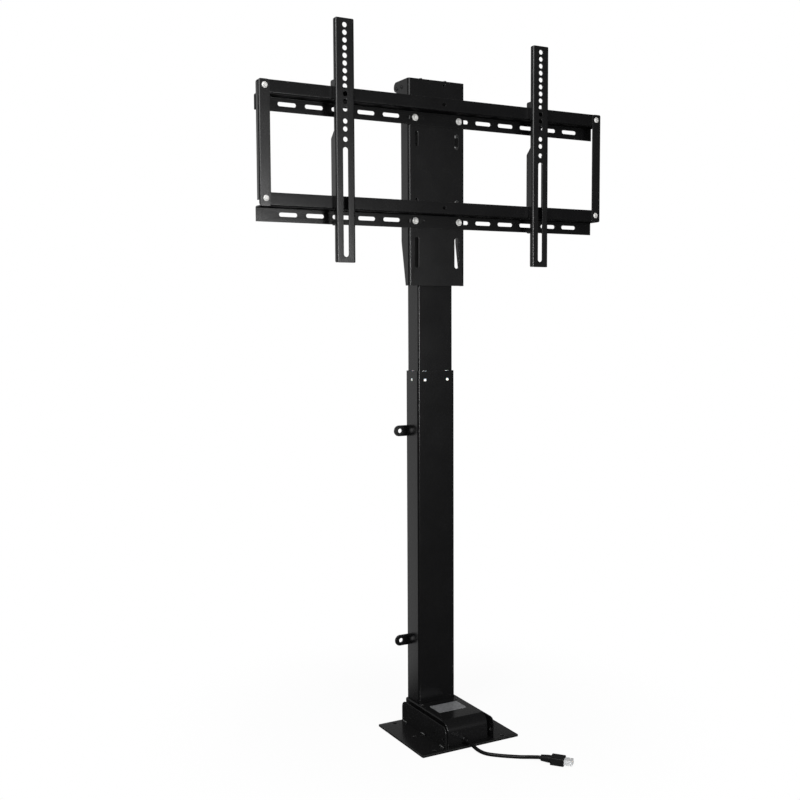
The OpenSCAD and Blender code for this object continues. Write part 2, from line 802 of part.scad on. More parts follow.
// A nylon pad with its peg, the pad on the inner side of a wall of thickness t whose outer face is at y = 0
module inside_pad(t) {
    translate([-pad_w / 2, t, -pad_h + pad_peg_inset + pad_lip]) cube([pad_w, pad_t, pad_h]);
    rod_y([0, -pad_peg_proud, 0], pad_peg_d, t + pad_peg_proud + eps);
}

module upper_guide_pads() {
    color("#f1f1ec") translate([0, 0, outer_top - pad_peg_inset])
        round_tube(outer_w, outer_d) inside_pad(tube_t);
}

module wall_strap(z) {
    color("#1c1d1f") along_y(outer_d / 2, strap_t) translate([0, z]) difference() {
        slot(strap_l, strap_h, false);
        for (s = [-1, 1]) {
            translate([s * strap_hole_span / 2, 0]) circle(d = strap_hole_d);
            translate([s * strap_screw_span / 2, 0]) circle(d = small_screw_d + 2 * hole_clear);
        }
    }
}
module upper_wall_strap() { wall_strap(strap_upper_z); }
module lower_wall_strap() { wall_strap(strap_lower_z); }

module wall_strap_screws() {
    color("#2a2b2d") for (z = [strap_lower_z, strap_upper_z], s = [-1, 1])
        translate([s * strap_screw_span / 2, outer_d / 2 + strap_t, z]) rotate([-90, 0, 0])
            pan_screw(small_head_d, small_head_h, small_screw_d, strap_t + tube_t);
}

module gear_case() {
    lower_seat = base_t + case_floor;
    color("#7d8288") difference() {
        union() {
            translate([case_left, -case_half_d, base_t])
                cube([case_right - case_left, 2 * case_half_d, case_h]);
            translate([worm_x - snout_half, motor_front, base_t])
                cube([2 * snout_half, -case_half_d - motor_front + eps, case_h]);
            rod_y([worm_x, motor_front, worm_z], motor_d, motor_flange_t);
        }
        rod_z([0, 0, lower_seat], lower_bearing_d, lower_bearing_h);
        rod_z([0, 0, lower_seat], 2 * bearing_clear_r, case_h);
        rod_z([0, 0, lower_seat + lower_bearing_h + 2], 2 * (wheel_r + wheel_room), case_h);
        rod_y([worm_x, motor_front - eps, worm_z], worm_bearing_d, tunnel_end - motor_front + eps);
        for (x = [case_left + lid_screw_inset, case_right - lid_screw_inset], s = [-1, 1])
            rod_z([x, s * (case_half_d - lid_screw_inset), lid_top - lid_screw_l - 0.5],
                  lid_screw_d + hole_clear, lid_screw_l);
        for (s = [-1, 1])
            rod_y([worm_x + s * motor_bolt_r, motor_front - eps, worm_z], motor_bolt_d + hole_clear,
                  motor_flange_t + 2 * eps);
    }
}

module gear_case_lid() {
    color("#7d8288") difference() {
        translate([case_left, -case_half_d, case_top])
            cube([case_right - case_left, 2 * case_half_d, lid_t]);
        rod_z([0, 0, case_top - eps], upper_bearing_d, upper_bearing_h + eps);
        rod_z([0, 0, case_top], 2 * bearing_clear_r, lid_t + eps);
        for (x = [case_left + lid_screw_inset, case_right - lid_screw_inset], s = [-1, 1])
            rod_z([x, s * (case_half_d - lid_screw_inset), case_top - eps], lid_screw_d + 2 * hole_clear,
                  lid_t + 2 * eps);
    }
}

module lid_screws() {
    color("#b9bcc0") for (x = [case_left + lid_screw_inset, case_right - lid_screw_inset], s = [-1, 1])
        translate([x, s * (case_half_d - lid_screw_inset), lid_top])
            pan_screw(small_head_d, small_head_h, lid_screw_d, lid_screw_l);
}

// A ball bearing drawn as one ring along Z
module bearing(d, bore, h) {
    difference() {
        cylinder(d = d - hole_clear, h = h);
        translate([0, 0, -eps]) cylinder(d = bore + 2 * run_clear, h = h + 2 * eps);
    }
}

module screw_bearings() {
    color("#aeb2b6") {
        translate([0, 0, base_t + case_floor]) bearing(lower_bearing_d, journal_d, lower_bearing_h);
        translate([0, 0, case_top]) bearing(upper_bearing_d, journal_d, upper_bearing_h);
    }
}

module worm_bearings() {
    color("#aeb2b6") for (y = worm_bearing_y)
        translate([worm_x, y + worm_bearing_t, worm_z]) rotate([90, 0, 0])
            bearing(worm_bearing_d, worm_shaft_d, worm_bearing_t);
}

module motor_can() {
    color("#8b9096") difference() {
        rod_y([worm_x, motor_rear, worm_z], motor_d, motor_l);
        rod_y([worm_x, motor_rear - eps, worm_z], motor_d - 2 * motor_wall, motor_l - motor_wall + eps);
        rod_y([worm_x, motor_rear, worm_z], worm_shaft_d + 2 * shaft_pass, motor_l + eps);
        for (s = [-1, 1])
            rod_y([worm_x + s * motor_bolt_r, motor_rear, worm_z], motor_bolt_d + hole_clear, motor_l + eps);
    }
}

module motor_magnets() {
    outer = motor_d / 2 - motor_wall - 0.1;
    arc = 110;
    color("#3a3c40") translate([worm_x, motor_mid + magnet_l / 2, worm_z]) rotate([90, 0, 0])
        for (a = [90, 270]) rotate(a - arc / 2)
            rotate_extrude(angle = arc) translate([outer - magnet_t, 0]) square([magnet_t, magnet_l]);
}

module motor_end_cap() {
    color("#26272a") difference() {
        rod_y([worm_x, end_cap_rear, worm_z], motor_d, end_cap_t);
        rod_y([worm_x, end_cap_rear + end_cap_floor, worm_z], worm_shaft_d + 2 * run_clear, end_cap_t);
        for (s = [-1, 1])
            rod_y([worm_x + s * motor_bolt_r, end_cap_rear - eps, worm_z], motor_bolt_d + hole_clear,
                  end_cap_t + 2 * eps);
    }
}

module motor_bolts() {
    l = end_cap_t + motor_l + motor_flange_t - 0.5;
    color("#b9bcc0") for (s = [-1, 1])
        translate([worm_x + s * motor_bolt_r, end_cap_rear, worm_z]) rotate([90, 0, 0])
            pan_screw(motor_bolt_head_d, motor_bolt_head_h, motor_bolt_d, l);
}

module motor_lead() {
    color("#202124") swept_tube(lead_route, lead_d, lead_sides);
}

// A rubber bush in the cover's front wall, with a tapered sleeve round the cable
module cable_relief() {
    color("#161719") translate([relief_x, cover_front, relief_z]) rotate([90, 0, 0])
        rotate_extrude() polygon([
            [0, -cover_t - relief_collar_t], [relief_d / 2, -cover_t - relief_collar_t],
            [relief_d / 2, -cover_t], [relief_neck_d / 2, -cover_t], [relief_neck_d / 2, 0],
            [relief_d / 2, 0], [relief_d / 2, relief_collar_t],
            [relief_sleeve_d / 2, relief_collar_t + 1], [relief_tip_d / 2, relief_l], [0, relief_l]]);
}

module motor_cable() {
    color("#18191b") swept_tube(cable_route, cable_d, cable_sides);
}

// The plug's own frame: +X along the plug, from the cable's end
module plug_frame() {
    translate(plug_start) rotate(plug_angle) children();
}

module plug_boot() {
    color("#1a1b1d") plug_frame() rotate([0, 90, 0]) rotate_extrude()
        polygon([[0, 0], [boot_neck_d / 2, 0], [boot_d / 2, boot_l * 0.7],
                 [boot_d / 2, boot_l], [0, boot_l]]);
}

module plug_body() {
    color("#1a1b1d") plug_frame() translate([boot_l, 0, 0]) rotate([90, 0, 90]) linear_extrude(plug_l)
        round_rect(plug_w, plug_h, plug_corner_r);
}

module plug_nose() {
    color("#e6e8ea") plug_frame() translate([boot_l + plug_l, 0, 0]) rotate([90, 0, 90])
        linear_extrude(nose_l) round_rect(nose_w, nose_h, nose_corner_r);
}

// A plain journal through the gear case, then a thread whose turns are drawn as rings
module lead_screw() {
    r = screw_d / 2;
    root = r - thread_depth;
    turns = floor((screw_top - stop_h - thread_bottom - 2) / thread_pitch);
    profile = concat(
        [[0, base_t + case_floor + 0.5], [journal_d / 2, base_t + case_floor + 0.5],
         [journal_d / 2, thread_bottom], [r, thread_bottom]],
        [for (k = [0:turns - 1])
            let (z = thread_bottom + 1 + k * thread_pitch)
            each [[r, z], [root, z + thread_pitch * 0.2], [root, z + thread_pitch * 0.4],
                  [r, z + thread_pitch * 0.6]]],
        [[r, screw_top - stop_h], [journal_d / 2, screw_top - stop_h], [journal_d / 2, screw_top],
         [0, screw_top]]);
    color("#9ba0a5") rotate_extrude() polygon(profile);
}

module screw_end_stop() {
    color("#5b5f64") translate([0, 0, screw_top - stop_h]) difference() {
        cylinder(d = stop_d, h = stop_h);
        translate([0, 0, -eps]) cylinder(d = journal_d + hole_clear, h = stop_h + 2 * eps);
    }
}

module worm_wheel() {
    root = wheel_r - 2;
    step = 360 / wheel_teeth;
    outline = [for (k = [0:wheel_teeth - 1])
        each [for (p = [[root, -0.34], [wheel_r, -0.16], [wheel_r, 0.16], [root, 0.34]])
            p[0] * [cos((k + p[1]) * step), sin((k + p[1]) * step)]]];
    color("#c8a45a") translate([0, 0, worm_z - wheel_t / 2]) linear_extrude(wheel_t) difference() {
        polygon(outline);
        circle(d = journal_d + hole_clear);
    }
}

module worm_shaft() {
    r = worm_shaft_d / 2;
    tail = worm_bearing_y[0] + worm_bearing_t;
    start = end_cap_rear + end_cap_floor + shaft_end_play;
    root = r + 0.4;
    pitch = worm_l / worm_turns;
    profile = concat(
        [[0, start], [r, start], [r, -worm_l / 2]],
        [for (k = [0:worm_turns - 1])
            let (y = k * pitch - worm_l / 2)
            each [[root, y], [worm_r, y + pitch * 0.3], [worm_r, y + pitch * 0.6], [root, y + pitch * 0.9]]],
        [[r, worm_l / 2], [r, tail], [0, tail]]);
    color("#9ba0a5") translate([worm_x, 0, worm_z]) rotate([-90, 0, 0]) rotate_extrude() polygon(profile);
}

module motor_armature() {
    rear = motor_mid - armature_l / 2;
    color("#9c6b3f") difference() {
        rod_y([worm_x, rear, worm_z], 2 * armature_r, armature_l);
        rod_y([worm_x, rear - eps, worm_z], worm_shaft_d + hole_clear, armature_l + 2 * eps);
    }
}

module inner_column() {
    color("#1c1d1f") difference() {
        translate([0, 0, inner_bottom]) linear_extrude(inner_top - inner_bottom)
            tube_plan(inner_w, inner_d, tube_t, inner_corner_r);
        translate([0, 0, inner_bottom + shoe_lift + pad_h - pad_peg_inset]) round_tube(inner_w, inner_d)
            rod_y([0, -eps, 0], pad_peg_d + hole_clear, tube_t + 2 * eps);
        for (s = [-1, 1])
            rod_y([s * pad_x, -inner_d / 2 - eps, cross_pin_z], cross_pin_d + hole_clear, inner_d + 2 * eps);
    }
}

module inner_top_plug() {
    color("#5b5f64") difference() {
        translate([0, 0, inner_top - plug_depth]) linear_extrude(plug_depth)
            round_rect(bore_w - 2 * insert_fit, bore_d - 2 * insert_fit, insert_corner_r);
        for (s = [-1, 1])
            rod_z([s * top_screw_x, -top_screw_y, inner_top + bracket_t - top_screw_l],
                  top_screw_d + hole_clear, top_screw_l + eps);
    }
}

module nut_block() {
    z = inner_bottom + nut_flange_t;
    color("#d9dadb") difference() {
        translate([0, 0, z]) linear_extrude(nut_block_h)
            round_rect(bore_w - 2 * insert_fit, bore_d - 2 * insert_fit, insert_corner_r);
        rod_z([0, 0, z - eps], nut_d + hole_clear, nut_block_h + 2 * eps);
        for (s = [-1, 1])
            rod_y([s * pad_x, -bore_d / 2 - eps, cross_pin_z], cross_pin_d + hole_clear, bore_d + 2 * eps);
    }
}

module nut_block_pins() {
    color("#9ba0a5") for (s = [-1, 1])
        rod_y([s * pad_x, -inner_d / 2, cross_pin_z], cross_pin_d, inner_d);
}

module drive_nut() {
    color("#c8a45a") translate([0, 0, inner_bottom]) difference() {
        union() {
            cylinder(d = nut_flange_d, h = nut_flange_t);
            cylinder(d = nut_d, h = nut_flange_t + nut_block_h);
        }
        translate([0, 0, -eps])
            cylinder(d = screw_d + 2 * run_clear, h = nut_flange_t + nut_block_h + 2 * eps);
    }
}

// A nylon shoe on the outer face of the inner tube, its peg through the wall
module outside_shoe() {
    translate([-pad_w / 2, -pad_t, -pad_h + pad_peg_inset]) cube([pad_w, pad_t, pad_h]);
    rod_y([0, -eps, 0], pad_peg_d, tube_t + eps);
}

module lower_guide_shoes() {
    color("#f1f1ec") translate([0, 0, inner_bottom + shoe_lift + pad_h - pad_peg_inset])
        round_tube(inner_w, inner_d) outside_shoe();
}

// The side view of the carriage: tapered at the foot, with an ear at the top
module carriage_side() {
    f = carriage_front;
    top = carriage_top;
    polygon([[f, carriage_bottom], [f + carriage_foot_flange, carriage_bottom],
             [f + carriage_flange, carriage_bottom + carriage_taper],
             [f + carriage_flange, top - 2 * ear_r - ear_neck], [ear_y, top - 2 * ear_r], [ear_y, top],
             [f, top]]);
    translate([ear_y, top - ear_r]) circle(ear_r);
}

module carriage_channel() {
    short_z = [upper_web - rail_slot_drop - short_slot_drop, lower_web - rail_slot_drop + short_slot_lift];
    color("#1c1d1f") difference() {
        intersection() {
            translate([0, carriage_front, carriage_bottom]) linear_extrude(carriage_h)
                channel_plan(carriage_w, ear_reach, carriage_t, carriage_bend_r);
            along_x(-carriage_w / 2, carriage_w) carriage_side();
        }
        along_y(carriage_front - eps, carriage_t + 2 * eps) for (s = [-1, 1]) {
            for (z = short_z) translate([s * plate_slot_x, z]) slot(short_slot_l, short_slot_w, true);
            translate([s * plate_slot_x, carriage_bottom + long_slot_inset + long_slot_l / 2])
                slot(long_slot_l, long_slot_w, true);
        }
        for (s = [-1, 1], w = rail_webs)
            rod_y([s * rail_bolt_x, carriage_front - eps, w - rail_slot_drop], bolt_d + 2 * hole_clear,
                  carriage_t + 2 * eps);
        rod_y([earth_hole_x, carriage_front - eps, carriage_top - earth_hole_drop], earth_hole_d,
              carriage_t + 2 * eps);
        for (y = ear_screw_y)
            rod_x([-carriage_w / 2 - eps, y, ear_screw_z], ear_screw_d + 2 * hole_clear,
                  carriage_w + 2 * eps);
    }
}

// A bent plate on the inner tube's top, its legs against the carriage's flanges
module top_bracket() {
    w = 2 * carriage_inner_x;
    color("#1c1d1f") difference() {
        along_y(bracket_front, bracket_rear - bracket_front) {
            translate([-w / 2, inner_top]) square([w, bracket_t]);
            for (s = [-1, 1]) translate([s * (w - bracket_t) / 2 - bracket_t / 2, inner_top - bracket_leg])
                square([bracket_t, bracket_leg]);
        }
        for (s = [-1, 1])
            rod_z([s * top_screw_x, -top_screw_y, inner_top - eps], top_screw_d + 2 * hole_clear,
                  bracket_t + 2 * eps);
        for (y = ear_screw_y)
            rod_x([-w / 2 - eps, y, ear_screw_z], ear_screw_d + hole_clear, w + 2 * eps);
    }
}

module top_screws() {
    color("#26272a") for (s = [-1, 1]) translate([s * top_screw_x, -top_screw_y, carriage_top])
        pan_screw(top_screw_head_d, top_screw_head_h, top_screw_d, top_screw_l - 1);
}

module ear_screws() {
    color("#26272a") for (s = [-1, 1], y = ear_screw_y)
        translate([s * carriage_w / 2, y, ear_screw_z]) rotate([0, s * 90, 0])
            pan_screw(ear_screw_head_d, ear_screw_head_h, ear_screw_d, carriage_t + bracket_t);
}

// The Z-shaped section of a rail whose web's underside is at height w
module rail_section(w) {
    r = rail_bend_r;
    t = rail_t;
    f = band_front;
    b = flange_back;
    translate([f, w + r]) square([t, band_h - r]);
    translate([f + r, w + r]) quarter_bend(r, t, 180);
    translate([f + r, w]) square([rail_depth - 2 * r, t]);
    translate([b - r, w + t - r]) quarter_bend(r, t, 0);
    translate([b - t, w - flange_drop]) square([t, flange_drop + t - r]);
}

module rail(w) {
    slots = [for (s = [-1, 1], k = [0:rail_slot_count - 1])
        rail_slot_shift + s * (rail_slot_first + k * rail_slot_pitch)];
    color("#1b1c1e") difference() {
        along_x(-rail_l / 2, rail_l) rail_section(w);
        along_y(flange_back - rail_t - eps, rail_t + 2 * eps) for (x = slots)
            translate([x, w - rail_slot_drop]) slot(rail_slot_l, rail_slot_w, false);
        rod_y([0, band_front - eps, w + band_hole_h], band_hole_d, rail_t + 2 * eps);
        for (s = [-1, 1])
            rod_y([s * strap_bolt_x, band_front - eps, w + band_h - strap_bolt_drop],
                  bolt_d + 2 * hole_clear, rail_t + 2 * eps);
    }
}
module upper_rail() { rail(upper_web); }
module lower_rail() { rail(lower_web); }

module rail_bolts() {
    l = rail_t + carriage_t + nut_h + bolt_proud;
    color("#c4c7ca") for (s = [-1, 1], w = rail_webs)
        translate([s * rail_bolt_x, flange_back - rail_t, w - rail_slot_drop]) rotate([90, 0, 0])
            pan_screw(rail_bolt_head_d, rail_bolt_head_h, bolt_d, l);
}

module rail_nuts() {
    color("#b9bcc0") for (s = [-1, 1], w = rail_webs)
        translate([s * rail_bolt_x, carriage_back, w - rail_slot_drop]) rotate([-90, 0, 0])
            hex_nut(nut_h, bolt_d + 2 * nut_clear);
}

// A bent strap across the rails' ends, drawn for the right end
module right_strap_shape() {
    r = rail_bend_r;
    t = rail_t;
    h = strap_top - strap_bottom;
    inner = strap_outer_x - end_strap_w;
    difference() {
        intersection() {
            translate([0, 0, strap_bottom]) linear_extrude(h) {
                translate([inner, strap_front]) square([end_strap_w - r, t]);
                translate([strap_outer_x - r, strap_front + r]) quarter_bend(r, t, 270);
                translate([strap_outer_x - t, strap_front + r]) square([t, end_strap_flange - r]);
            }
            along_y(strap_front - eps, end_strap_flange + 2 * eps)
                translate([(inner + strap_outer_x) / 2, strap_bottom + h / 2])
                    round_rect(end_strap_w, h, end_strap_r);
        }
        translate([strap_outer_x - t - eps, strap_front + r, strap_bottom - eps])
            cube([t + 2 * eps, end_strap_flange, end_strap_cut]);
        for (z = strap_bolt_z)
            rod_y([strap_bolt_x, strap_front - eps, z], bolt_d + 2 * hole_clear, t + 2 * eps);
    }
}
module right_end_strap() { color("#1b1c1e") right_strap_shape(); }
module left_end_strap() { color("#1b1c1e") mirror([1, 0, 0]) right_strap_shape(); }

module strap_bolts() {
    l = 2 * rail_t + nut_h + bolt_proud;
    color("#c4c7ca") for (s = [-1, 1], z = strap_bolt_z)
        translate([s * strap_bolt_x, strap_front, z]) rotate([90, 0, 0])
            pan_screw(strap_bolt_head_d, strap_bolt_head_h, bolt_d, l);
}

module strap_nuts() {
    color("#b9bcc0") for (s = [-1, 1], z = strap_bolt_z)
        translate([s * strap_bolt_x, band_front + rail_t, z]) rotate([-90, 0, 0])
            hex_nut(nut_h, bolt_d + 2 * nut_clear);
}

// The side view of an arm: shallow flanges with a hook over the upper band, a deep spine and a notched toe
module arm_side() {
    hook_top = upper_web + band_h + arm_hook_rise;
    spine_top = lower_web + arm_spine_h;
    toe = lower_web - arm_toe;
    depth = arm_deep_y - arm_front;
    gap_front = band_front - arm_clear;
    gap_back = band_front + rail_t + arm_clear;
    difference() {
        union() {
            translate([arm_front, arm_bottom]) square([arm_flange, arm_l]);
            translate([arm_front, upper_web + rail_t + arm_clear])
                square([depth, hook_top - arm_hook_r - upper_web - rail_t - arm_clear]);
            translate([arm_front, upper_web]) square([depth - arm_hook_r, hook_top - upper_web]);
            translate([arm_deep_y - arm_hook_r, hook_top - arm_hook_r]) circle(arm_hook_r);
            polygon([[arm_front, toe], [arm_deep_y - arm_toe_r, toe], [arm_deep_y, toe + arm_toe_r],
                     [arm_deep_y, spine_top - arm_spine_chamfer], [arm_shallow_y, spine_top],
                     [arm_front, spine_top]]);
            translate([arm_deep_y - arm_toe_r, toe + arm_toe_r]) circle(arm_toe_r);
        }
        translate([gap_front, upper_web - eps]) square([gap_back - gap_front, band_h + arm_clear + eps]);
        translate([gap_front, upper_web - eps]) square([depth, rail_t + arm_clear + eps]);
        translate([gap_front, lower_web - arm_clear]) square([depth, band_h + 2 * arm_clear]);
        translate([arm_shallow_y, toe + arm_toe_h]) square([depth, arm_toe - arm_toe_h]);
    }
}

module arm(x) {
    color("#1c1d1f") difference() {
        intersection() {
            translate([x, arm_front, arm_bottom]) linear_extrude(arm_l)
                channel_plan(arm_w, arm_hook_depth, arm_t, arm_bend_r);
            along_x(x - arm_w / 2, arm_w) arm_side();
            along_y(arm_front - eps, arm_hook_depth + 2 * eps) translate([x, (arm_top + arm_bottom) / 2])
                round_rect(arm_w, arm_l, arm_corner_r);
        }
        for (z = arm_hole_z) rod_y([x, arm_front - eps, z], arm_hole_d, arm_t + 2 * eps);
        along_y(arm_front - eps, arm_t + 2 * eps) translate([x, arm_slot_top - arm_slot_l / 2])
            slot(arm_slot_l, arm_slot_w, true);
    }
}
module left_arm() { arm(-arm_span / 2); }
module right_arm() { arm(arm_span / 2); }

base_plate();
left_cheek();
right_cheek();
base_welds();
motor_cover();
cover_posts();
cover_screws();
rating_plate();
outer_column();
upper_guide_pads();
upper_wall_strap();
lower_wall_strap();
wall_strap_screws();
gear_case();
gear_case_lid();
lid_screws();
screw_bearings();
worm_bearings();
motor_can();
motor_magnets();
motor_end_cap();
motor_bolts();
motor_lead();
cable_relief();
motor_cable();
plug_boot();
plug_body();
plug_nose();
lead_screw();
screw_end_stop();
worm_wheel();
worm_shaft();
motor_armature();
inner_column();
inner_top_plug();
nut_block();
nut_block_pins();
drive_nut();
lower_guide_shoes();
carriage_channel();
top_bracket();
top_screws();
ear_screws();
upper_rail();
lower_rail();
rail_bolts();
rail_nuts();
left_end_strap();
right_end_strap();
strap_bolts();
strap_nuts();
left_arm();
right_arm();
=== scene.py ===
"""Looks of a floor-standing television lift: finishes, softened sheet metal, fasteners, welds, cable, studio."""
import json
import logging
import math
from abc import ABC, abstractmethod
from collections.abc import Sequence
from dataclasses import dataclass, replace
from enum import Enum, IntEnum
from typing import ClassVar, Protocol

import bmesh
import bpy
from mathutils import Euler, Matrix, Vector

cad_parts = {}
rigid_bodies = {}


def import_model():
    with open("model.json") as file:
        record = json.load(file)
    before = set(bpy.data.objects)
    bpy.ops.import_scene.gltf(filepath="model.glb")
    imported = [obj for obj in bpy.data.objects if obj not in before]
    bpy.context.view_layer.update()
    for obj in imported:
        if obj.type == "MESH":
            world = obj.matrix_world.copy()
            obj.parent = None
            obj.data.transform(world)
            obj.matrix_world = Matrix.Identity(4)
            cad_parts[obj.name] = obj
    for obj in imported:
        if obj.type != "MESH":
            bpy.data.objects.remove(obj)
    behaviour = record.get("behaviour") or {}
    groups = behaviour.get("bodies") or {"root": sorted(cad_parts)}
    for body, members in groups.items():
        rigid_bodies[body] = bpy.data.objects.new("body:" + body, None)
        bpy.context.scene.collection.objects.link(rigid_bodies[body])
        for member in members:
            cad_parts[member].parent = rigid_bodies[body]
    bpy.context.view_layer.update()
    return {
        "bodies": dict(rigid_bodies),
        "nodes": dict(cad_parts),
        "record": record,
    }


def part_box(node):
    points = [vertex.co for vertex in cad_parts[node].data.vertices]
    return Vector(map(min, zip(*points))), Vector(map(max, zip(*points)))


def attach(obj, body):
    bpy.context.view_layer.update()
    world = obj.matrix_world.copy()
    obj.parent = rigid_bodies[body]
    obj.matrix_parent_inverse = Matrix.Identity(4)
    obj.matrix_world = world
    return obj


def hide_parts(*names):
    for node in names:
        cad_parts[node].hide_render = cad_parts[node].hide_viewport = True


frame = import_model()

log = logging.getLogger("lift")
MM = 0.001
SLOT_OF = {part["node"]: part["material_slot"] for part in frame["record"]["subparts"]}
BODY_OF = {node: body for body, nodes in frame["record"]["behaviour"]["bodies"].items() for node in nodes}

Colour = tuple[float, float, float]
Point = tuple[float, float, float]
Span = tuple[float, float]


class Sock:
    """An output socket that takes part in Python arithmetic by adding Math nodes."""

    def __init__(self, graph: "Graph", socket: bpy.types.NodeSocket | None) -> None:
        """Keep the graph and the socket."""
        self.graph = graph
        self.socket = socket

    def also(self, name: str | int) -> "Sock":
        """Give another output of the same node."""
        return Sock(self.graph, self.socket.node.outputs[name])

    def math(self, operation: str, first: "Sock | float", second: "Sock | float" = 0.0) -> "Sock":
        """Add one Math node.

        Args:
            operation: The Math node's operation.
            first: Its first value.
            second: Its second value, where the operation takes one.

        Returns:
            The node's result.
        """
        return self.graph.node("ShaderNodeMath", {"operation": operation}, {0: first, 1: second})

    def __add__(self, other: "Sock | float") -> "Sock":
        """Add a value."""
        return self.math("ADD", self, other)

    def __radd__(self, other: "Sock | float") -> "Sock":
        """Add to a number."""
        return self.math("ADD", other, self)

    def __sub__(self, other: "Sock | float") -> "Sock":
        """Take a value away."""
        return self.math("SUBTRACT", self, other)

    def __rsub__(self, other: "Sock | float") -> "Sock":
        """Take away from a number."""
        return self.math("SUBTRACT", other, self)

    def __mul__(self, other: "Sock | float") -> "Sock":
        """Multiply by a value."""
        return self.math("MULTIPLY", self, other)

    def __rmul__(self, other: "Sock | float") -> "Sock":
        """Multiply a number."""
        return self.math("MULTIPLY", other, self)

    def __truediv__(self, other: "Sock | float") -> "Sock":
        """Divide by a value."""
        return self.math("DIVIDE", self, other)

    def __rtruediv__(self, other: "Sock | float") -> "Sock":
        """Divide a number."""
        return self.math("DIVIDE", other, self)

    def __pow__(self, other: "Sock | float") -> "Sock":
        """Raise to a power."""
        return self.math("POWER", self, other)

    def __rpow__(self, other: "Sock | float") -> "Sock":
        """Raise a number to this power."""
        return self.math("POWER", other, self)

    def sine(self) -> "Sock":
        """Give the sine."""
        return self.math("SINE", self)

    def size(self) -> "Sock":
        """Give the value without its sign."""
        return self.math("ABSOLUTE", self)

    def at_least(self, floor: "Sock | float") -> "Sock":
        """Give the larger of this and a floor."""
        return self.math("MAXIMUM", self, floor)

    def swing(self, reach: float) -> "Sock":
        """Centre noise on nought and scale it."""
        return (self - 0.5) * reach

    def rises(self, low: float, high: float) -> "Sock":
        """Give 0 below low and 1 above high, eased between."""
        return self.graph.node("ShaderNodeMapRange", {"interpolation_type": "SMOOTHSTEP"},
                               {"Value": self, "From Min": low, "From Max": high})


class Graph:
    """A node tree under construction."""

    def __init__(self, tree: bpy.types.NodeTree) -> None:
        """Take an empty tree."""
        self.tree = tree

    def node(self, kind: str, settings: dict[str, object] | None = None,
             inputs: dict[str | int, object] | None = None, out: str | int = 0) -> Sock:
        """Add any node.

        Args:
            kind: The node's type.
            settings: Its properties, set first.
            inputs: Values or links of its sockets; a list links several to one socket.
            out: The output to give back.

        Returns:
            That output, or an empty one where the node has none.
        """
        made = self.tree.nodes.new(kind)
        for key, value in (settings or {}).items():
            setattr(made, key, value)
        for key, value in (inputs or {}).items():
            for item in value if isinstance(value, list) else [value]:
                if isinstance(item, Sock):
                    self.tree.links.new(item.socket, made.inputs[key])
                else:
                    made.inputs[key].default_value = item
        return Sock(self, made.outputs[out] if len(made.outputs) else None)

    def vector(self, x: Sock | float, y: Sock | float, z: Sock | float) -> Sock:
        """Put three values together."""
        return self.node("ShaderNodeCombineXYZ", {}, {0: x, 1: y, 2: z})

    def noise(self, place: Sock, size: float | Point, detail: float = 2.0) -> Sock:
        """Add noise.

        Args:
            place: Coordinates in metres.
            size: Grain size in metres, one for all axes or one for each.
            detail: Octaves.

        Returns:
            The noise, about 0.5.
        """
        sizes = size if isinstance(size, tuple) else (size, size, size)
        scaled = self.node("ShaderNodeMapping", {},
                           {"Vector": place, "Scale": tuple(1.0 / s for s in sizes)})
        return self.node("ShaderNodeTexNoise", {}, {"Vector": scaled, "Scale": 1.0, "Detail": detail})

    def blend(self, share: Sock | float, first: Sock | tuple, second: Sock | tuple) -> Sock:
        """Mix two colours."""
        return self.node("ShaderNodeMix", {"data_type": "RGBA"}, {0: share, 6: first, 7: second}, 2)

    def bump(self, height: Sock) -> Sock:
        """Turn a height in metres into a normal."""
        return self.node("ShaderNodeBump", {}, {"Strength": 1.0, "Distance": 1.0, "Height": height})


def emptied(owner: bpy.types.Material | bpy.types.World) -> Graph:
    """Clear the nodes of a material or world.

    Args:
        owner: The material or world.

    Returns:
        Its empty tree.
    """
    owner.use_nodes = True
    owner.node_tree.nodes.clear()
    return Graph(owner.node_tree)


def rgba(colour: Colour, gain: float = 1.0) -> tuple[float, float, float, float]:
    """Give a colour with alpha, brighter by a gain."""
    return (colour[0] * gain, colour[1] * gain, colour[2] * gain, 1.0)


@dataclass(frozen=True)
class Finish(ABC):
    """A surface with its colour and gloss; each kind below has its own pattern and its dark and light tints."""

    name: str
    colour: Colour
    roughness: float
    metallic: float = 0.0
    shine: float = 0.5

    TINTS: ClassVar[Span]

    def constants(self) -> dict[str, object]:
        """Give the shader's plain settings."""
        return {"Metallic": self.metallic, "Specular IOR Level": self.shine}

    def tint(self, graph: Graph, share: Sock) -> Sock:
        """Blend from the dark tint to the light one."""
        dark, light = self.TINTS
        return graph.blend(share, rgba(self.colour, dark), rgba(self.colour, light))

    @abstractmethod
    def pattern(self, graph: Graph, place: Sock) -> dict[str, object]:
        """Give what varies over the surface.

        Args:
            graph: The material's tree.
            place: Object coordinates in metres.

        Returns:
            The shader's linked inputs.
        """

    def material(self) -> bpy.types.Material:
        """Make the material, or give the one already made.

        Returns:
            The finish's only material.
        """
        known = bpy.data.materials.get(self.name)
        if known:
            return known
        made = bpy.data.materials.new(self.name)
        made.diffuse_color = rgba(self.colour)
        graph = emptied(made)
        place = graph.node("ShaderNodeTexCoord", out="Object")
        shader = graph.node("ShaderNodeBsdfPrincipled", {}, {**self.constants(), **self.pattern(graph, place)})
        graph.node("ShaderNodeOutputMaterial", {}, {"Surface": shader})
        return made


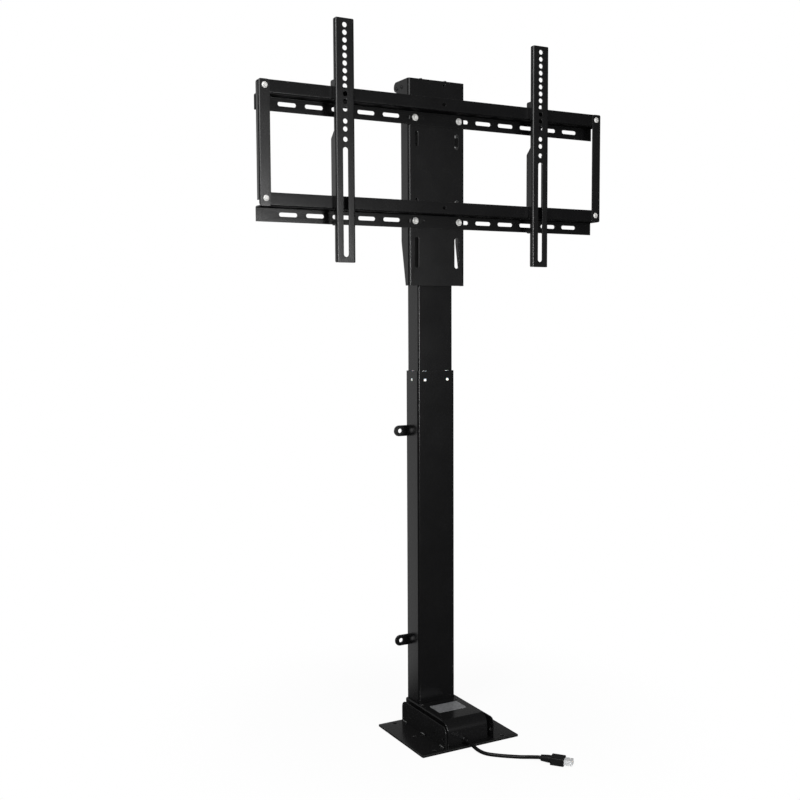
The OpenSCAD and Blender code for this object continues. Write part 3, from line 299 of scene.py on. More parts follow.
@dataclass(frozen=True)
class PowderCoat(Finish):
    """Black powder coat: orange peel, a slow wave in the sheet, patches of gloss and fine dust."""

    peel: float = 1.1 * MM
    peel_height: float = 0.003 * MM
    peel_gloss: float = 0.07
    wave: float = 38 * MM
    wave_height: float = 0.02 * MM
    patch: float = 45 * MM
    spread: float = 0.08
    dust: float = 0.05
    dust_size: float = 0.7 * MM
    dust_colour: Colour = (0.5, 0.5, 0.48)
    dust_edge: Span = (0.74, 0.8)
    dusty_patch: Span = (0.45, 0.7)

    TINTS: ClassVar[Span] = (0.82, 1.2)

    def pattern(self, graph: Graph, place: Sock) -> dict[str, object]:
        """Vary tint and gloss by patches, add dust specks and the coat's relief.

        Args:
            graph: The material's tree.
            place: Object coordinates in metres.

        Returns:
            The shader's linked inputs.
        """
        patch = graph.noise(place, self.patch, detail=3.0)
        peel = graph.noise(place, self.peel, detail=3.0)
        wave = graph.noise(place, self.wave, detail=1.0)
        grit = graph.noise(place, self.dust_size, detail=1.0)
        speck = grit.rises(*self.dust_edge) * patch.rises(*self.dusty_patch)
        return {
            "Base Color": graph.blend(speck * self.dust, self.tint(graph, patch), rgba(self.dust_colour)),
            "Roughness": self.roughness + patch.swing(self.spread) + peel.swing(self.peel_gloss),
            "Normal": graph.bump(peel * self.peel_height + wave * self.wave_height),
        }


@dataclass(frozen=True)
class PlatedSteel(Finish):
    """Plated or ground steel: cool and warm clouds, fine grain, slightly uneven gloss."""

    warm: Colour = (1.04, 1.0, 0.92)
    cloud: float = 5 * MM
    cloud_gloss: float = 0.16
    grain: float = 0.25 * MM
    grain_height: float = 0.002 * MM
    grain_gloss: float = 0.1

    TINTS: ClassVar[Span] = (0.9, 1.06)

    def tint(self, graph: Graph, share: Sock) -> Sock:
        """Blend from the dark tint to a warm light one.

        Args:
            graph: The material's tree.
            share: The share of the light tint.

        Returns:
            The colour.
        """
        dark, light = self.TINTS
        warm = tuple(c * w for c, w in zip(self.colour, self.warm))
        return graph.blend(share, rgba(self.colour, dark), rgba(warm, light))

    def pattern(self, graph: Graph, place: Sock) -> dict[str, object]:
        """Cloud the plating and grain it.

        Args:
            graph: The material's tree.
            place: Object coordinates in metres.

        Returns:
            The shader's linked inputs.
        """
        cloud = graph.noise(place, self.cloud, detail=4.0)
        grain = graph.noise(place, self.grain)
        return {
            "Base Color": self.tint(graph, cloud),
            "Roughness": self.roughness + cloud.swing(self.cloud_gloss) + grain.swing(self.grain_gloss),
            "Normal": graph.bump(grain * self.grain_height),
        }


@dataclass(frozen=True)
class FoilPlate(Finish):
    """A bare silver foil plate, mottled and faintly rubbed."""

    mottle: float = 1.6 * MM
    mottle_height: float = 0.004 * MM
    mottle_gloss: float = 0.25
    mottle_share: float = 0.65
    rub: Point = (14 * MM, 0.5 * MM, 4 * MM)
    contrast: Span = (0.3, 0.7)

    TINTS: ClassVar[Span] = (0.6, 1.25)

    def pattern(self, graph: Graph, place: Sock) -> dict[str, object]:
        """Mottle the foil and rub it along its length.

        Args:
            graph: The material's tree.
            place: Object coordinates in metres.

        Returns:
            The shader's linked inputs.
        """
        mottle = graph.noise(place, self.mottle, detail=3.0)
        rub = graph.noise(place, self.rub)
        share = (mottle * self.mottle_share + rub * (1.0 - self.mottle_share)).rises(*self.contrast)
        return {
            "Base Color": self.tint(graph, share),
            "Roughness": self.roughness + mottle.swing(self.mottle_gloss),
            "Normal": graph.bump(mottle * self.mottle_height),
        }


@dataclass(frozen=True)
class Moulding(Finish):
    """A moulded plastic or rubber: fine spark grain, slight flow clouds, light let in where it is milky."""

    flow: float = 9 * MM
    grain: float = 0.35 * MM
    grain_height: float = 0.004 * MM
    gloss: float = 0.12
    passing: float = 0.0
    depth: float = 0.0
    scatter: float = 2 * MM
    refraction: float = 1.49

    TINTS: ClassVar[Span] = (0.88, 1.1)

    def constants(self) -> dict[str, object]:
        """Let light into a milky moulding."""
        return {**super().constants(), "Transmission Weight": self.passing, "Subsurface Weight": self.depth,
                "Subsurface Scale": self.scatter, "IOR": self.refraction}

    def pattern(self, graph: Graph, place: Sock) -> dict[str, object]:
        """Cloud the colour along the flow and grain the skin.

        Args:
            graph: The material's tree.
            place: Object coordinates in metres.

        Returns:
            The shader's linked inputs.
        """
        flow = graph.noise(place, self.flow, detail=3.0)
        grain = graph.noise(place, self.grain)
        return {
            "Base Color": self.tint(graph, flow),
            "Roughness": self.roughness + flow.swing(self.gloss) + grain.swing(self.gloss),
            "Normal": graph.bump(grain * self.grain_height),
        }


@dataclass(frozen=True)
class WoundCopper(Finish):
    """Enamelled wire laid side by side round the armature, with painted shade in the grooves and painted highlight
    on the crests.
    """

    wire: float = 0.6 * MM
    wire_height: float = 0.1 * MM
    cloud: float = 4 * MM
    cloud_gloss: float = 0.2

    # Dark tint for the painted shade in the grooves, light tint for the painted highlight on the crests.
    TINTS: ClassVar[Span] = (0.5, 1.2)

    def pattern(self, graph: Graph, place: Sock) -> dict[str, object]:
        """Lay the wires along the shaft, as ridges one above another, painted darker in the grooves and lighter on
        the crests.

        Args:
            graph: The material's tree.
            place: Object coordinates in metres.

        Returns:
            The shader's linked inputs.
        """
        height = graph.node("ShaderNodeSeparateXYZ", {}, {0: place}, "Z")
        ridge_and_shade = (height * (math.tau / self.wire)).sine() * 0.5 + 0.5
        cloud = graph.noise(place, self.cloud)
        return {
            # Painted shade and highlight: the colour follows the ridges.
            "Base Color": self.tint(graph, ridge_and_shade),
            "Roughness": self.roughness + cloud.swing(self.cloud_gloss),
            "Normal": graph.bump(ridge_and_shade * self.wire_height),
        }


SATIN_COAT = PowderCoat("satin_black_coat", (0.0035, 0.0035, 0.0037), 0.26, wave_height=0.01 * MM, spread=0.06)
RAIL_COAT = replace(SATIN_COAT, name="rail_black_coat", shine=0.36)
ARM_COAT = replace(SATIN_COAT, name="arm_black_coat", shine=0.75)
TUBE_COAT = replace(SATIN_COAT, name="tube_black_coat", roughness=0.22, shine=0.45)
GLOSS_COAT = PowderCoat("gloss_black_coat", (0.0055, 0.0055, 0.0057), 0.2, peel=1.8 * MM, spread=0.06)
# Painted shade: a copy of the satin coat with its reflection dulled, for faces where shade falls.
PAINTED_SHADE_COAT = PowderCoat("painted_shade_dull_coat", (0.0035, 0.0035, 0.0036), 0.6, shine=0.08, dust=0.02)
# Partly wear, partly painted highlight: a lighter coat on the broken edges, as coat worn thin and as a painted light
# line.
WORN_HIGHLIT_EDGE_COAT = PowderCoat("black_coat_worn_highlit_edge", (0.02, 0.02, 0.02), 0.18, dust=0.12)
WELD_COAT = PowderCoat("coated_weld", (0.009, 0.009, 0.0093), 0.16, peel=2.5 * MM, peel_height=0.02 * MM)
ZINC = PlatedSteel("bright_zinc", (0.64, 0.65, 0.66), 0.42, 0.3)
BLACK_SCREW = PlatedSteel("black_oxide", (0.03, 0.03, 0.032), 0.34, 0.4)
BARE_PLATE = FoilPlate("bare_silver_foil", (0.34, 0.345, 0.355), 0.42, 0.55, mottle=3 * MM)
NYLON = Moulding("white_nylon", (0.85, 0.85, 0.82), 0.45, depth=0.15)
DIE_CAST = PlatedSteel("die_cast_alloy", (0.5, 0.51, 0.52), 0.48, 0.95, grain_height=0.02 * MM)
GROUND_STEEL = PlatedSteel("bright_ground_steel", (0.45, 0.46, 0.47), 0.28, 1.0)
FERRITE = PlatedSteel("sintered_ferrite", (0.08, 0.08, 0.085), 0.6, 0.1, grain_height=0.01 * MM)
BLACK_PLASTIC = Moulding("black_moulding", (0.008, 0.008, 0.0083), 0.45, shine=0.2)
CABLE_JACKET = Moulding("black_rubber", (0.004, 0.004, 0.0042), 0.34, shine=0.3, grain=0.8 * MM)
PALE_PLASTIC = Moulding("milky_moulding", (0.9, 0.91, 0.92), 0.26, passing=0.4)
BRONZE = PlatedSteel("machined_bronze", (0.58, 0.42, 0.2), 0.3, 1.0)
WINDING = WoundCopper("copper_winding", (0.45, 0.22, 0.1), 0.35, 0.6)

SLOT_FINISH: dict[str, Finish] = {
    "black_coat": SATIN_COAT, "zinc": ZINC, "black_screw": BLACK_SCREW, "bare_plate": BARE_PLATE,
    "nylon": NYLON, "die_cast": DIE_CAST, "ground_steel": GROUND_STEEL, "ferrite": FERRITE,
    "black_plastic": BLACK_PLASTIC, "cable_jacket": CABLE_JACKET, "pale_plastic": PALE_PLASTIC,
    "bronze": BRONZE, "winding": WINDING,
}


def linked(name: str, data: bpy.types.ID) -> bpy.types.Object:
    """Make an object at the origin and put it in the scene.

    Args:
        name: The object's name.
        data: Its mesh, curve, lamp or camera.

    Returns:
        The object.
    """
    made = bpy.data.objects.new(name, data)
    bpy.context.scene.collection.objects.link(made)
    return made


def baked(piece: bpy.types.Object) -> bpy.types.Object:
    """Turn a piece's modifiers into its own mesh and remove them.

    Args:
        piece: A piece with live modifiers.

    Returns:
        The same piece with a plain mesh.
    """
    depsgraph = bpy.context.evaluated_depsgraph_get()
    mesh = bpy.data.meshes.new_from_object(piece.evaluated_get(depsgraph), preserve_all_data_layers=True,
                                           depsgraph=depsgraph)
    piece.modifiers.clear()
    piece.data = mesh
    return piece


def stands_for(piece: bpy.types.Object, *nodes: str) -> bpy.types.Object:
    """Put a piece in the place of CAD nodes, on their body, and report it.

    Args:
        piece: The finished piece.
        nodes: The nodes that it replaces.

    Returns:
        The same piece.
    """
    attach(piece, BODY_OF[nodes[0]])
    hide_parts(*nodes)
    faces = len(getattr(piece.data, "polygons", []))
    log.info("%s stands for %s, %d faces", piece.name, ", ".join(nodes), faces)
    return piece


class Skin(IntEnum):
    """The material slots of a softened piece, in order."""

    FACE = 0
    EDGE = 1
    # Faces where shade falls, in the painted-shade coat.
    SHELTERED = 2


@dataclass(frozen=True)
class Softened:
    """A CAD node's own shape with its sharp edges broken and its bends shaded smooth.

    Sheltered faces can have a finish of their own, a dulled copy of the coat as painted shade: all but the rear ones
    above a height, or else those facing down.
    """

    node: str
    finish: Finish
    edge: float = 0.35 * MM
    worn_and_highlit: Finish | None = None
    rim: float = 0.0
    sharp: float = math.radians(35)
    sheltered: Finish | None = None
    sheltered_above: float | None = None

    EDGE_STEPS: ClassVar[int] = 2
    RIM_STEPS: ClassVar[int] = 5
    MERGE: ClassVar[float] = 0.002 * MM
    TINY: ClassVar[float] = 0.01 * MM
    FLAT: ClassVar[float] = math.radians(0.6)
    TURNED: ClassVar[float] = math.radians(60)
    FACES_DOWN: ClassVar[float] = -0.95
    FACES_REAR: ClassVar[float] = 0.5

    def merged(self) -> bpy.types.Mesh:
        """Copy the node's mesh and join its loose triangles.

        A shape with a wide rim loses the edges that lie in flat faces.

        Returns:
            The mesh, with each face's material slot set.
        """
        source = frame["nodes"][self.node].data
        mesh = bpy.data.meshes.new(f"{self.node}_finished")
        mesh.from_pydata([v.co for v in source.vertices], [], [p.vertices[:] for p in source.polygons])
        shape = bmesh.new()
        shape.from_mesh(mesh)
        bmesh.ops.remove_doubles(shape, verts=shape.verts, dist=self.MERGE)
        if self.rim:
            bmesh.ops.dissolve_limit(shape, angle_limit=self.FLAT, verts=shape.verts, edges=shape.edges)
            self.mark_rim(shape)
        if self.sheltered_above is not None:
            bmesh.ops.bisect_plane(shape, geom=[*shape.verts, *shape.edges, *shape.faces],
                                   plane_co=(0.0, 0.0, self.sheltered_above), plane_no=(0.0, 0.0, 1.0))
        for face in shape.faces:
            face.smooth = True
            face.material_index = Skin.SHELTERED if self.is_sheltered(face) else Skin.FACE
        shape.to_mesh(mesh)
        shape.free()
        return mesh

    def is_sheltered(self, face: bmesh.types.BMFace) -> bool:
        """Tell whether a face has the sheltered finish, the painted shade.

        Args:
            face: A face of the merged shape.

        Returns:
            True for a sheltered face.
        """
        if self.sheltered_above is None:
            return self.sheltered is not None and face.normal.z < self.FACES_DOWN
        return face.calc_center_median().z > self.sheltered_above and face.normal.y < self.FACES_REAR

    def mark_rim(self, shape: bmesh.types.BMesh) -> None:
        """Weight the outer side edges for a wide round.

        Args:
            shape: The merged shape; it gets a bevel weight layer.
        """
        weight = shape.edges.layers.float.new("bevel_weight_edge")
        side = max(v.co.x for v in shape.verts)
        foot = min(v.co.z for v in shape.verts)
        rear = max(v.co.y for v in shape.verts)
        for edge in shape.edges:
            ends = [v.co for v in edge.verts]
            at_side = all(side - abs(end.x) < self.TINY for end in ends)
            at_foot = all(end.z - foot < self.TINY for end in ends)
            at_rear = all(rear - end.y < self.TINY for end in ends)
            turned = len(edge.link_faces) == 2 and edge.calc_face_angle() > self.TURNED
            edge[weight] = 1.0 if at_side and turned and not at_foot and not at_rear else 0.0

    @staticmethod
    def bevel(piece: bpy.types.Object, name: str, width: float, steps: int) -> bpy.types.BevelModifier:
        """Add a bevel that keeps its width.

        Args:
            piece: The piece.
            name: The modifier's name.
            width: The bevel's width.
            steps: Its segments.

        Returns:
            The modifier.
        """
        made = piece.modifiers.new(name, "BEVEL")
        made.width, made.segments = width, steps
        made.use_clamp_overlap = made.loop_slide = False
        return made

    def build(self) -> bpy.types.Object:
        """Make the piece in the node's place.

        Returns:
            The piece.
        """
        piece = linked(f"{self.node}_finished", self.merged())
        for finish in (self.finish, self.worn_and_highlit or self.finish, self.sheltered or self.finish):
            piece.data.materials.append(finish.material())
        if self.rim:
            self.bevel(piece, "rim", self.rim, self.RIM_STEPS).limit_method = "WEIGHT"
        broken = self.bevel(piece, "edges", self.edge, self.EDGE_STEPS)
        broken.limit_method, broken.angle_limit = "ANGLE", self.sharp
        # The broken edges take the lighter edge coat: partly wear, partly a painted highlight line.
        broken.material = Skin.EDGE
        piece.modifiers.new("normals", "WEIGHTED_NORMAL")
        return stands_for(baked(piece), self.node)


@dataclass(frozen=True)
class Seat:
    """A place where a repeated shape sits: its point, the way it faces and its scale."""

    place: Vector
    facing: Vector
    size: Point = (1.0, 1.0, 1.0)

    def turn(self) -> Euler:
        """Give the turn from +Z to the way it faces."""
        return self.facing.to_track_quat("Z", "Y").to_euler()


@dataclass(frozen=True)
class HalfTurn(Seat):
    """A seat for a shape that faces +X, turned about Z only."""

    def turn(self) -> Euler:
        """Give no turn to the right, half a turn to the left."""
        return Euler((0.0, 0.0, 0.0 if self.facing.x > 0 else math.pi))


class Grower:
    """A Geometry Nodes tree with named inputs, run once on a list of seats."""

    CREASE = math.radians(32)

    def __init__(self, name: str) -> None:
        """Start an empty tree.

        Args:
            name: The tree's name.
        """
        self.tree = bpy.data.node_groups.new(name, "GeometryNodeTree")
        self.tree.interface.new_socket("Geometry", in_out="INPUT", socket_type="NodeSocketGeometry")
        self.tree.interface.new_socket("Geometry", in_out="OUTPUT", socket_type="NodeSocketGeometry")
        self.graph = Graph(self.tree)
        self.entry = self.tree.nodes.new("NodeGroupInput")

    def given(self, name: str, kind: str = "Float") -> Sock:
        """Add a named input and give its socket."""
        self.tree.interface.new_socket(name, in_out="INPUT", socket_type=f"NodeSocket{kind}")
        return Sock(self.graph, self.entry.outputs[name])

    def shifted(self, shape: Sock, z: Sock | float) -> Sock:
        """Move a shape along Z."""
        return self.graph.node("GeometryNodeTransform", {},
                               {"Geometry": shape, "Translation": self.graph.vector(0.0, 0.0, z)})

    def joined(self, *shapes: Sock) -> Sock:
        """Put shapes together."""
        return self.graph.node("GeometryNodeJoinGeometry", {}, {"Geometry": list(shapes)})

    def spread(self, shape: Sock, spin: Sock | float) -> None:
        """Set a shape on every seat, spun about its own axis, and end the tree.

        Args:
            shape: The shape at the origin, facing +Z.
            spin: The angle about the seat's axis.
        """
        g = self.graph
        vector = {"data_type": "FLOAT_VECTOR"}
        turn = g.node("FunctionNodeEulerToRotation", {},
                      {0: g.node("GeometryNodeInputNamedAttribute", vector, {"Name": "turn"})})
        about = g.node("FunctionNodeAxisAngleToRotation", {}, {"Axis": (0.0, 0.0, 1.0), "Angle": spin})
        turned = g.node("FunctionNodeRotateRotation", {"rotation_space": "LOCAL"},
                        {"Rotation": turn, "Rotate By": about})
        laid = g.node("GeometryNodeInstanceOnPoints", {}, {
            "Points": Sock(g, self.entry.outputs["Geometry"]), "Instance": shape, "Rotation": turned,
            "Scale": g.node("GeometryNodeInputNamedAttribute", vector, {"Name": "size"})})
        real = g.node("GeometryNodeRealizeInstances", {}, {"Geometry": laid})
        dressed = g.node("GeometryNodeSetMaterial", {},
                         {"Geometry": real, "Material": self.given("Finish", "Material")})
        g.node("NodeGroupOutput", {}, {"Geometry": dressed})

    def run(self, name: str, seats: Sequence[Seat], finish: Finish, sizes: dict[str, object]) -> bpy.types.Object:
        """Grow the piece and turn it into a plain mesh.

        Args:
            name: The piece's name.
            seats: Where the shape sits.
            finish: Its finish.
            sizes: Values of the named inputs.

        Returns:
            The piece, with no modifier left.
        """
        mesh = bpy.data.meshes.new(name)
        mesh.from_pydata([s.place for s in seats], [], [])
        for key, values in (("turn", [s.turn() for s in seats]), ("size", [s.size for s in seats])):
            layer = mesh.attributes.new(key, "FLOAT_VECTOR", "POINT")
            layer.data.foreach_set("vector", [c for v in values for c in v])
        piece = linked(name, mesh)
        grow = piece.modifiers.new("grow", "NODES")
        grow.node_group = self.tree
        wanted = {**sizes, "Finish": finish.material()}
        for item in self.tree.interface.items_tree:
            if item.in_out == "INPUT" and item.name in wanted:
                grow[item.identifier] = wanted[item.name]
        baked(piece)
        piece.data.shade_smooth()
        piece.data.set_sharp_from_angle(angle=self.CREASE)
        return piece


def small_bars(name: str, seats: Sequence[Seat], size: Point, finish: Finish, spin: float = 0.0) -> bpy.types.Object:
    """Grow one plain bar on each seat and report the piece.

    Args:
        name: The piece's name.
        seats: The bars' middles.
        size: Each bar's size along its own axes.
        finish: The bars' finish.
        spin: The bars' turn about the seat's axis.

    Returns:
        The piece.
    """
    grower = Grower(name)
    g = grower.graph
    labels = ("Width", "Depth", "Height")
    block = g.node("GeometryNodeMeshCube", {}, {"Size": g.vector(*(grower.given(label) for label in labels))})
    grower.spread(block, spin)
    log.info("%s added, %d bars", name, len(seats))
    return grower.run(name, seats, finish, dict(zip(labels, size)))


class Recess(Enum):
    """What the driver fits: a cross, or nothing on a smooth dome."""

    CROSS = "cross"
    NONE = "none"


@dataclass(frozen=True)
class Fastener:
    """A screw or bolt: its head, shank and recess.

    The head's steps give each ring's rise, as a share of the height, and how far it draws in. The cross is given
    by its width and length as shares of the diameter, and its depth as a share of the height.
    """

    head_d: float
    head_h: float
    shank_d: float
    shank_l: float
    recess: Recess = Recess.CROSS
    seed: int = 1

    HEAD_STEPS: ClassVar[tuple[Span, ...]] = ((0.34, 1.0), (0.24, 0.955), (0.18, 0.9), (0.14, 0.83), (0.1, 0.72))
    HEAD_SIDES: ClassVar[int] = 32
    SHANK_SIDES: ClassVar[int] = 20
    CROSS: ClassVar[Point] = (0.1, 0.52, 0.55)
    MERGE: ClassVar[float] = 0.001 * MM
    DECIMALS: ClassVar[int] = 6

    def head(self, grower: Grower, across: Sock, tall: Sock) -> Sock:
        """Raise the domed head from a disc, closed underneath.

        Args:
            grower: The tree.
            across: The head's diameter.
            tall: The head's height.

        Returns:
            The head, standing on the seat.
        """
        g = grower.graph
        disc = g.node("GeometryNodeMeshCircle", {"fill_type": "NGON"},
                      {"Vertices": self.HEAD_SIDES, "Radius": across * 0.5})
        shape = disc
        up = g.vector(0.0, 0.0, 1.0)
        for rise, shrink in self.HEAD_STEPS:
            raised = g.node("GeometryNodeExtrudeMesh", {"mode": "FACES"},
                            {"Mesh": shape, "Offset": up, "Offset Scale": tall * rise, "Individual": False})
            shape = g.node("GeometryNodeScaleElements", {"domain": "FACE"},
                           {"Geometry": raised, "Selection": raised.also("Top"), "Scale": shrink})
        under = g.node("GeometryNodeFlipFaces", {}, {"Mesh": disc})
        return g.node("GeometryNodeMergeByDistance", {},
                      {"Geometry": grower.joined(shape, under), "Distance": self.MERGE})

    def cut(self, grower: Grower, head: Sock, across: Sock, tall: Sock) -> Sock:
        """Cut the cross into a head.

        Args:
            grower: The tree.
            head: The head to cut.
            across: The head's diameter.
            tall: The head's height.

        Returns:
            The cut head.
        """
        g = grower.graph
        wide, long, deep = (side * share for side, share in zip((across, across, tall), self.CROSS))
        bars = [grower.shifted(g.node("GeometryNodeMeshCube", {}, {"Size": size}), tall)
                for size in (g.vector(wide, long, deep * 2.0), g.vector(long, wide, deep * 2.0))]
        return g.node("GeometryNodeMeshBoolean", {"operation": "DIFFERENCE", "solver": "EXACT"},
                      {"Mesh 1": head, "Mesh 2": bars})

    def tree(self) -> Grower:
        """Build the tree of one fastener set on seats, each spun at random.

        Returns:
            The finished tree.
        """
        grower = Grower("fastener")
        g = grower.graph
        across, tall = grower.given("Head Diameter"), grower.given("Head Height")
        thick, long = grower.given("Shank Diameter"), grower.given("Shank Length")
        shape = self.head(grower, across, tall)
        if self.recess is Recess.CROSS:
            shape = self.cut(grower, shape, across, tall)
        shank = g.node("GeometryNodeMeshCylinder", {},
                       {"Vertices": self.SHANK_SIDES, "Radius": thick * 0.5, "Depth": long})
        whole = grower.joined(shape, grower.shifted(shank, long * -0.5))
        spin = g.node("FunctionNodeRandomValue", {"data_type": "FLOAT"},
                      {2: 0.0, 3: math.tau, 8: grower.given("Seed", "Int")}, 1)
        grower.spread(whole, spin)
        return grower

    def corners(self, node: str, facing: Point, seat: float) -> list[Seat]:
        """Give the seats of fasteners that stand at the corners of their node's box.

        Args:
            node: The fasteners' node; their heads touch its box's sides.
            facing: The way the heads face, along one axis.
            seat: Where on that axis the heads sit.

        Returns:
            One seat for each corner.
        """
        low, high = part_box(node)
        axis = max(range(3), key=lambda k: abs(facing[k]))
        half = self.head_d / 2
        ends = [(seat,) if k == axis else (low[k] + half, high[k] - half) for k in range(3)]
        xs, ys, zs = (tuple(dict.fromkeys(round(v, self.DECIMALS) for v in pair)) for pair in ends)
        return [Seat(Vector((x, y, z)), Vector(facing)) for x in xs for y in ys for z in zs]

    def build(self, node: str, seats: Sequence[Seat], finish: Finish) -> bpy.types.Object:
        """Set the fasteners on their seats in the place of a node.

        Args:
            node: The CAD node that they stand for.
            seats: The seats under their heads.
            finish: Their finish.

        Returns:
            The piece.
        """
        piece = self.tree().run(f"{node}_finished", seats, finish, {
            "Head Diameter": self.head_d, "Head Height": self.head_h, "Shank Diameter": self.shank_d,
            "Shank Length": self.shank_l, "Seed": self.seed})
        return stands_for(piece, node)


@dataclass
class MotorCable:
    """The motor's cable: it leaves the strain relief, eases down to the floor and ends in a small plug."""

    diameter: float = 6.4 * MM
    ring_steps: int = 6
    knot_steps: int = 6
    heading: float = math.atan2(-3.0, 2.5)
    boot_l: float = 18 * MM
    boot_edge: float = 0.3 * MM
    body_l: float = 23 * MM
    body_edge: float = 0.7 * MM
    nose_l: float = 14 * MM
    nose_edge: float = 0.4 * MM
    contacts: int = 4
    contact: Point = (1.1 * MM, 11 * MM, 0.5 * MM)
    contact_pitch: float = 2.4 * MM
    contact_lift: float = 1.6 * MM
    route_mm: tuple[Point, ...] = (
        (-6.5, -143, 10.5), (-6.5, -147.5, 10.5), (-6.5, -152, 10.1), (-6.4, -157, 9.1), (-5.9, -163, 7.5),
        (-4.9, -169, 6.0), (-3.1, -175, 4.7), (-0.3, -182, 3.7), (3.4, -188.3, 3.3), (8.2, -194.4, 3.2),
        (13.6, -200, 3.2), (19.6, -205.7, 3.2), (26, -211.3, 3.2), (32.8, -216.7, 3.2), (39.6, -222, 3.2),
        (46.2, -227.5, 3.39), (52.6, -233.4, 4.15), (58.8, -240, 5.29), (64.6, -246.8, 6.43), (68, -250.7, 7),
        (70.5, -253.7, 7))

    def jacket(self) -> bpy.types.Object:
        """Lay the cable as one smooth curve.

        Returns:
            The jacket.
        """
        curve = bpy.data.curves.new("motor_cable_jacket", "CURVE")
        curve.dimensions = "3D"
        curve.bevel_depth = self.diameter / 2
        curve.bevel_resolution, curve.resolution_u = self.ring_steps, self.knot_steps
        curve.use_fill_caps = True
        spline = curve.splines.new("BEZIER")
        spline.bezier_points.add(len(self.route_mm) - 1)
        for knot, place in zip(spline.bezier_points, self.route_mm):
            knot.co = Vector(place) * MM
            knot.handle_left_type = knot.handle_right_type = "AUTO"
        curve.materials.append(CABLE_JACKET.material())
        return linked("motor_cable_jacket", curve)

    def contact_strips(self) -> bpy.types.Object:
        """Set the contact strips side by side inside the milky nose.

        Returns:
            The strips as one piece.
        """
        along = Vector((math.cos(self.heading), math.sin(self.heading), 0.0))
        across = Vector((-along.y, along.x, 0.0))
        start = Vector(self.route_mm[-1]) * MM + along * (self.boot_l + self.body_l + self.nose_l / 2)
        lift = Vector((0, 0, self.contact_lift))
        steps = [k - (self.contacts - 1) / 2 for k in range(self.contacts)]
        seats = [Seat(start + across * self.contact_pitch * step + lift, Vector((0, 0, 1))) for step in steps]
        piece = small_bars("plug_contacts", seats, self.contact, BRONZE, self.heading - math.pi / 2)
        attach(piece, "base")
        return piece

    def build(self) -> None:
        """Make the cable and its plug."""
        jacket = stands_for(self.jacket(), "motor_cable")
        boot = Softened("plug_boot", BLACK_PLASTIC, self.boot_edge).build()
        body = Softened("plug_body", BLACK_PLASTIC, self.body_edge).build()
        nose = Softened("plug_nose", PALE_PLASTIC, self.nose_edge).build()
        contacts = self.contact_strips()


@dataclass
class BaseHousing:
    """Base plate, cheeks and their welds, motor cover with its screws and plate, strain relief."""

    base_edge: float = 0.8 * MM
    cheek_edge: float = 0.4 * MM
    cover_edge: float = 0.3 * MM
    cover_rim: float = 2.4 * MM
    rating_edge: float = 0.12 * MM
    relief_edge: float = 0.25 * MM
    weld_leg: float = 3.8 * MM
    weld_l: float = 14 * MM
    weld_inset: float = 13 * MM
    weld_ripple: float = 1.9 * MM
    weld_trough: float = 0.78
    weld_bluntness: float = 4.0
    weld_sink: float = 0.2 * MM
    weld_merge: float = 0.02 * MM
    weld_sides: int = 20
    weld_rings: int = 40
    column_weld: Point = (0.55, 1.86, 0.55)
    cover_screw: Fastener = Fastener(7 * MM, 2.4 * MM, 3 * MM, 10 * MM, seed=3)

    def weld_tree(self) -> Grower:
        """Build the tree of one rippled fillet bead along Y, with its corner on the axis.

        Returns:
            The finished tree.
        """
        grower = Grower("weld_bead")
        g = grower.graph
        leg, long, ripple = grower.given("Leg"), grower.given("Length"), grower.given("Ripple")
        rod = g.node("GeometryNodeMeshCylinder", {}, {
            "Vertices": self.weld_sides, "Side Segments": self.weld_rings, "Fill Segments": 1,
            "Radius": leg, "Depth": long})
        place = g.node("ShaderNodeSeparateXYZ", {}, {0: g.node("GeometryNodeInputPosition")})
        x, y, along = place, place.also("Y"), place.also("Z")
        ends = 1.0 - ((along.size() * 2.0 / long) ** self.weld_bluntness)
        wave = (along * math.pi / ripple).sine().size()
        swell = (ends.at_least(0.0) ** 0.5) * (self.weld_trough + (1.0 - self.weld_trough) * wave)
        floor = -self.weld_sink
        bead = g.node("GeometryNodeSetPosition", {}, {
            "Geometry": rod,
            "Position": g.vector((x * swell).at_least(floor), along, (y * swell).at_least(floor))})
        clean = g.node("GeometryNodeMergeByDistance", {}, {"Geometry": bead, "Distance": self.weld_merge})
        grower.spread(clean, 0.0)
        return grower

    def weld_seats(self) -> list[Seat]:
        """Place the beads beside the cheeks and the column; left ones are turned half round.

        Returns:
            One seat for each bead.
        """
        low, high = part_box("left_cheek")
        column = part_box("outer_column")[1].x
        seats = []
        for side in (-1.0, 1.0):
            facing = Vector((side, 0, 0))
            for y in (high.y - self.weld_inset, (low.y + high.y) / 2, low.y + self.weld_inset):
                seats.append(HalfTurn(Vector((side * -low.x, y, low.z)), facing))
            seats.append(HalfTurn(Vector((side * column, 0.0, low.z)), facing, self.column_weld))
        return seats

    def build(self) -> None:
        """Make the housing's pieces."""
        Softened("base_plate", GLOSS_COAT, self.base_edge, WORN_HIGHLIT_EDGE_COAT).build()
        for node in ("left_cheek", "right_cheek"):
            Softened(node, GLOSS_COAT, self.cheek_edge, WORN_HIGHLIT_EDGE_COAT).build()
        Softened("motor_cover", GLOSS_COAT, self.cover_edge, WORN_HIGHLIT_EDGE_COAT, rim=self.cover_rim).build()
        Softened("rating_plate", BARE_PLATE, self.rating_edge).build()
        Softened("cable_relief", CABLE_JACKET, self.relief_edge).build()
        welds = self.weld_tree().run("base_welds_finished", self.weld_seats(), WELD_COAT, {
            "Leg": self.weld_leg, "Length": self.weld_l, "Ripple": self.weld_ripple})
        stands_for(welds, "base_welds")
        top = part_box("motor_cover")[1].z
        seats = self.cover_screw.corners("cover_screws", (0, 0, 1), top)
        self.cover_screw.build("cover_screws", seats, BLACK_SCREW)


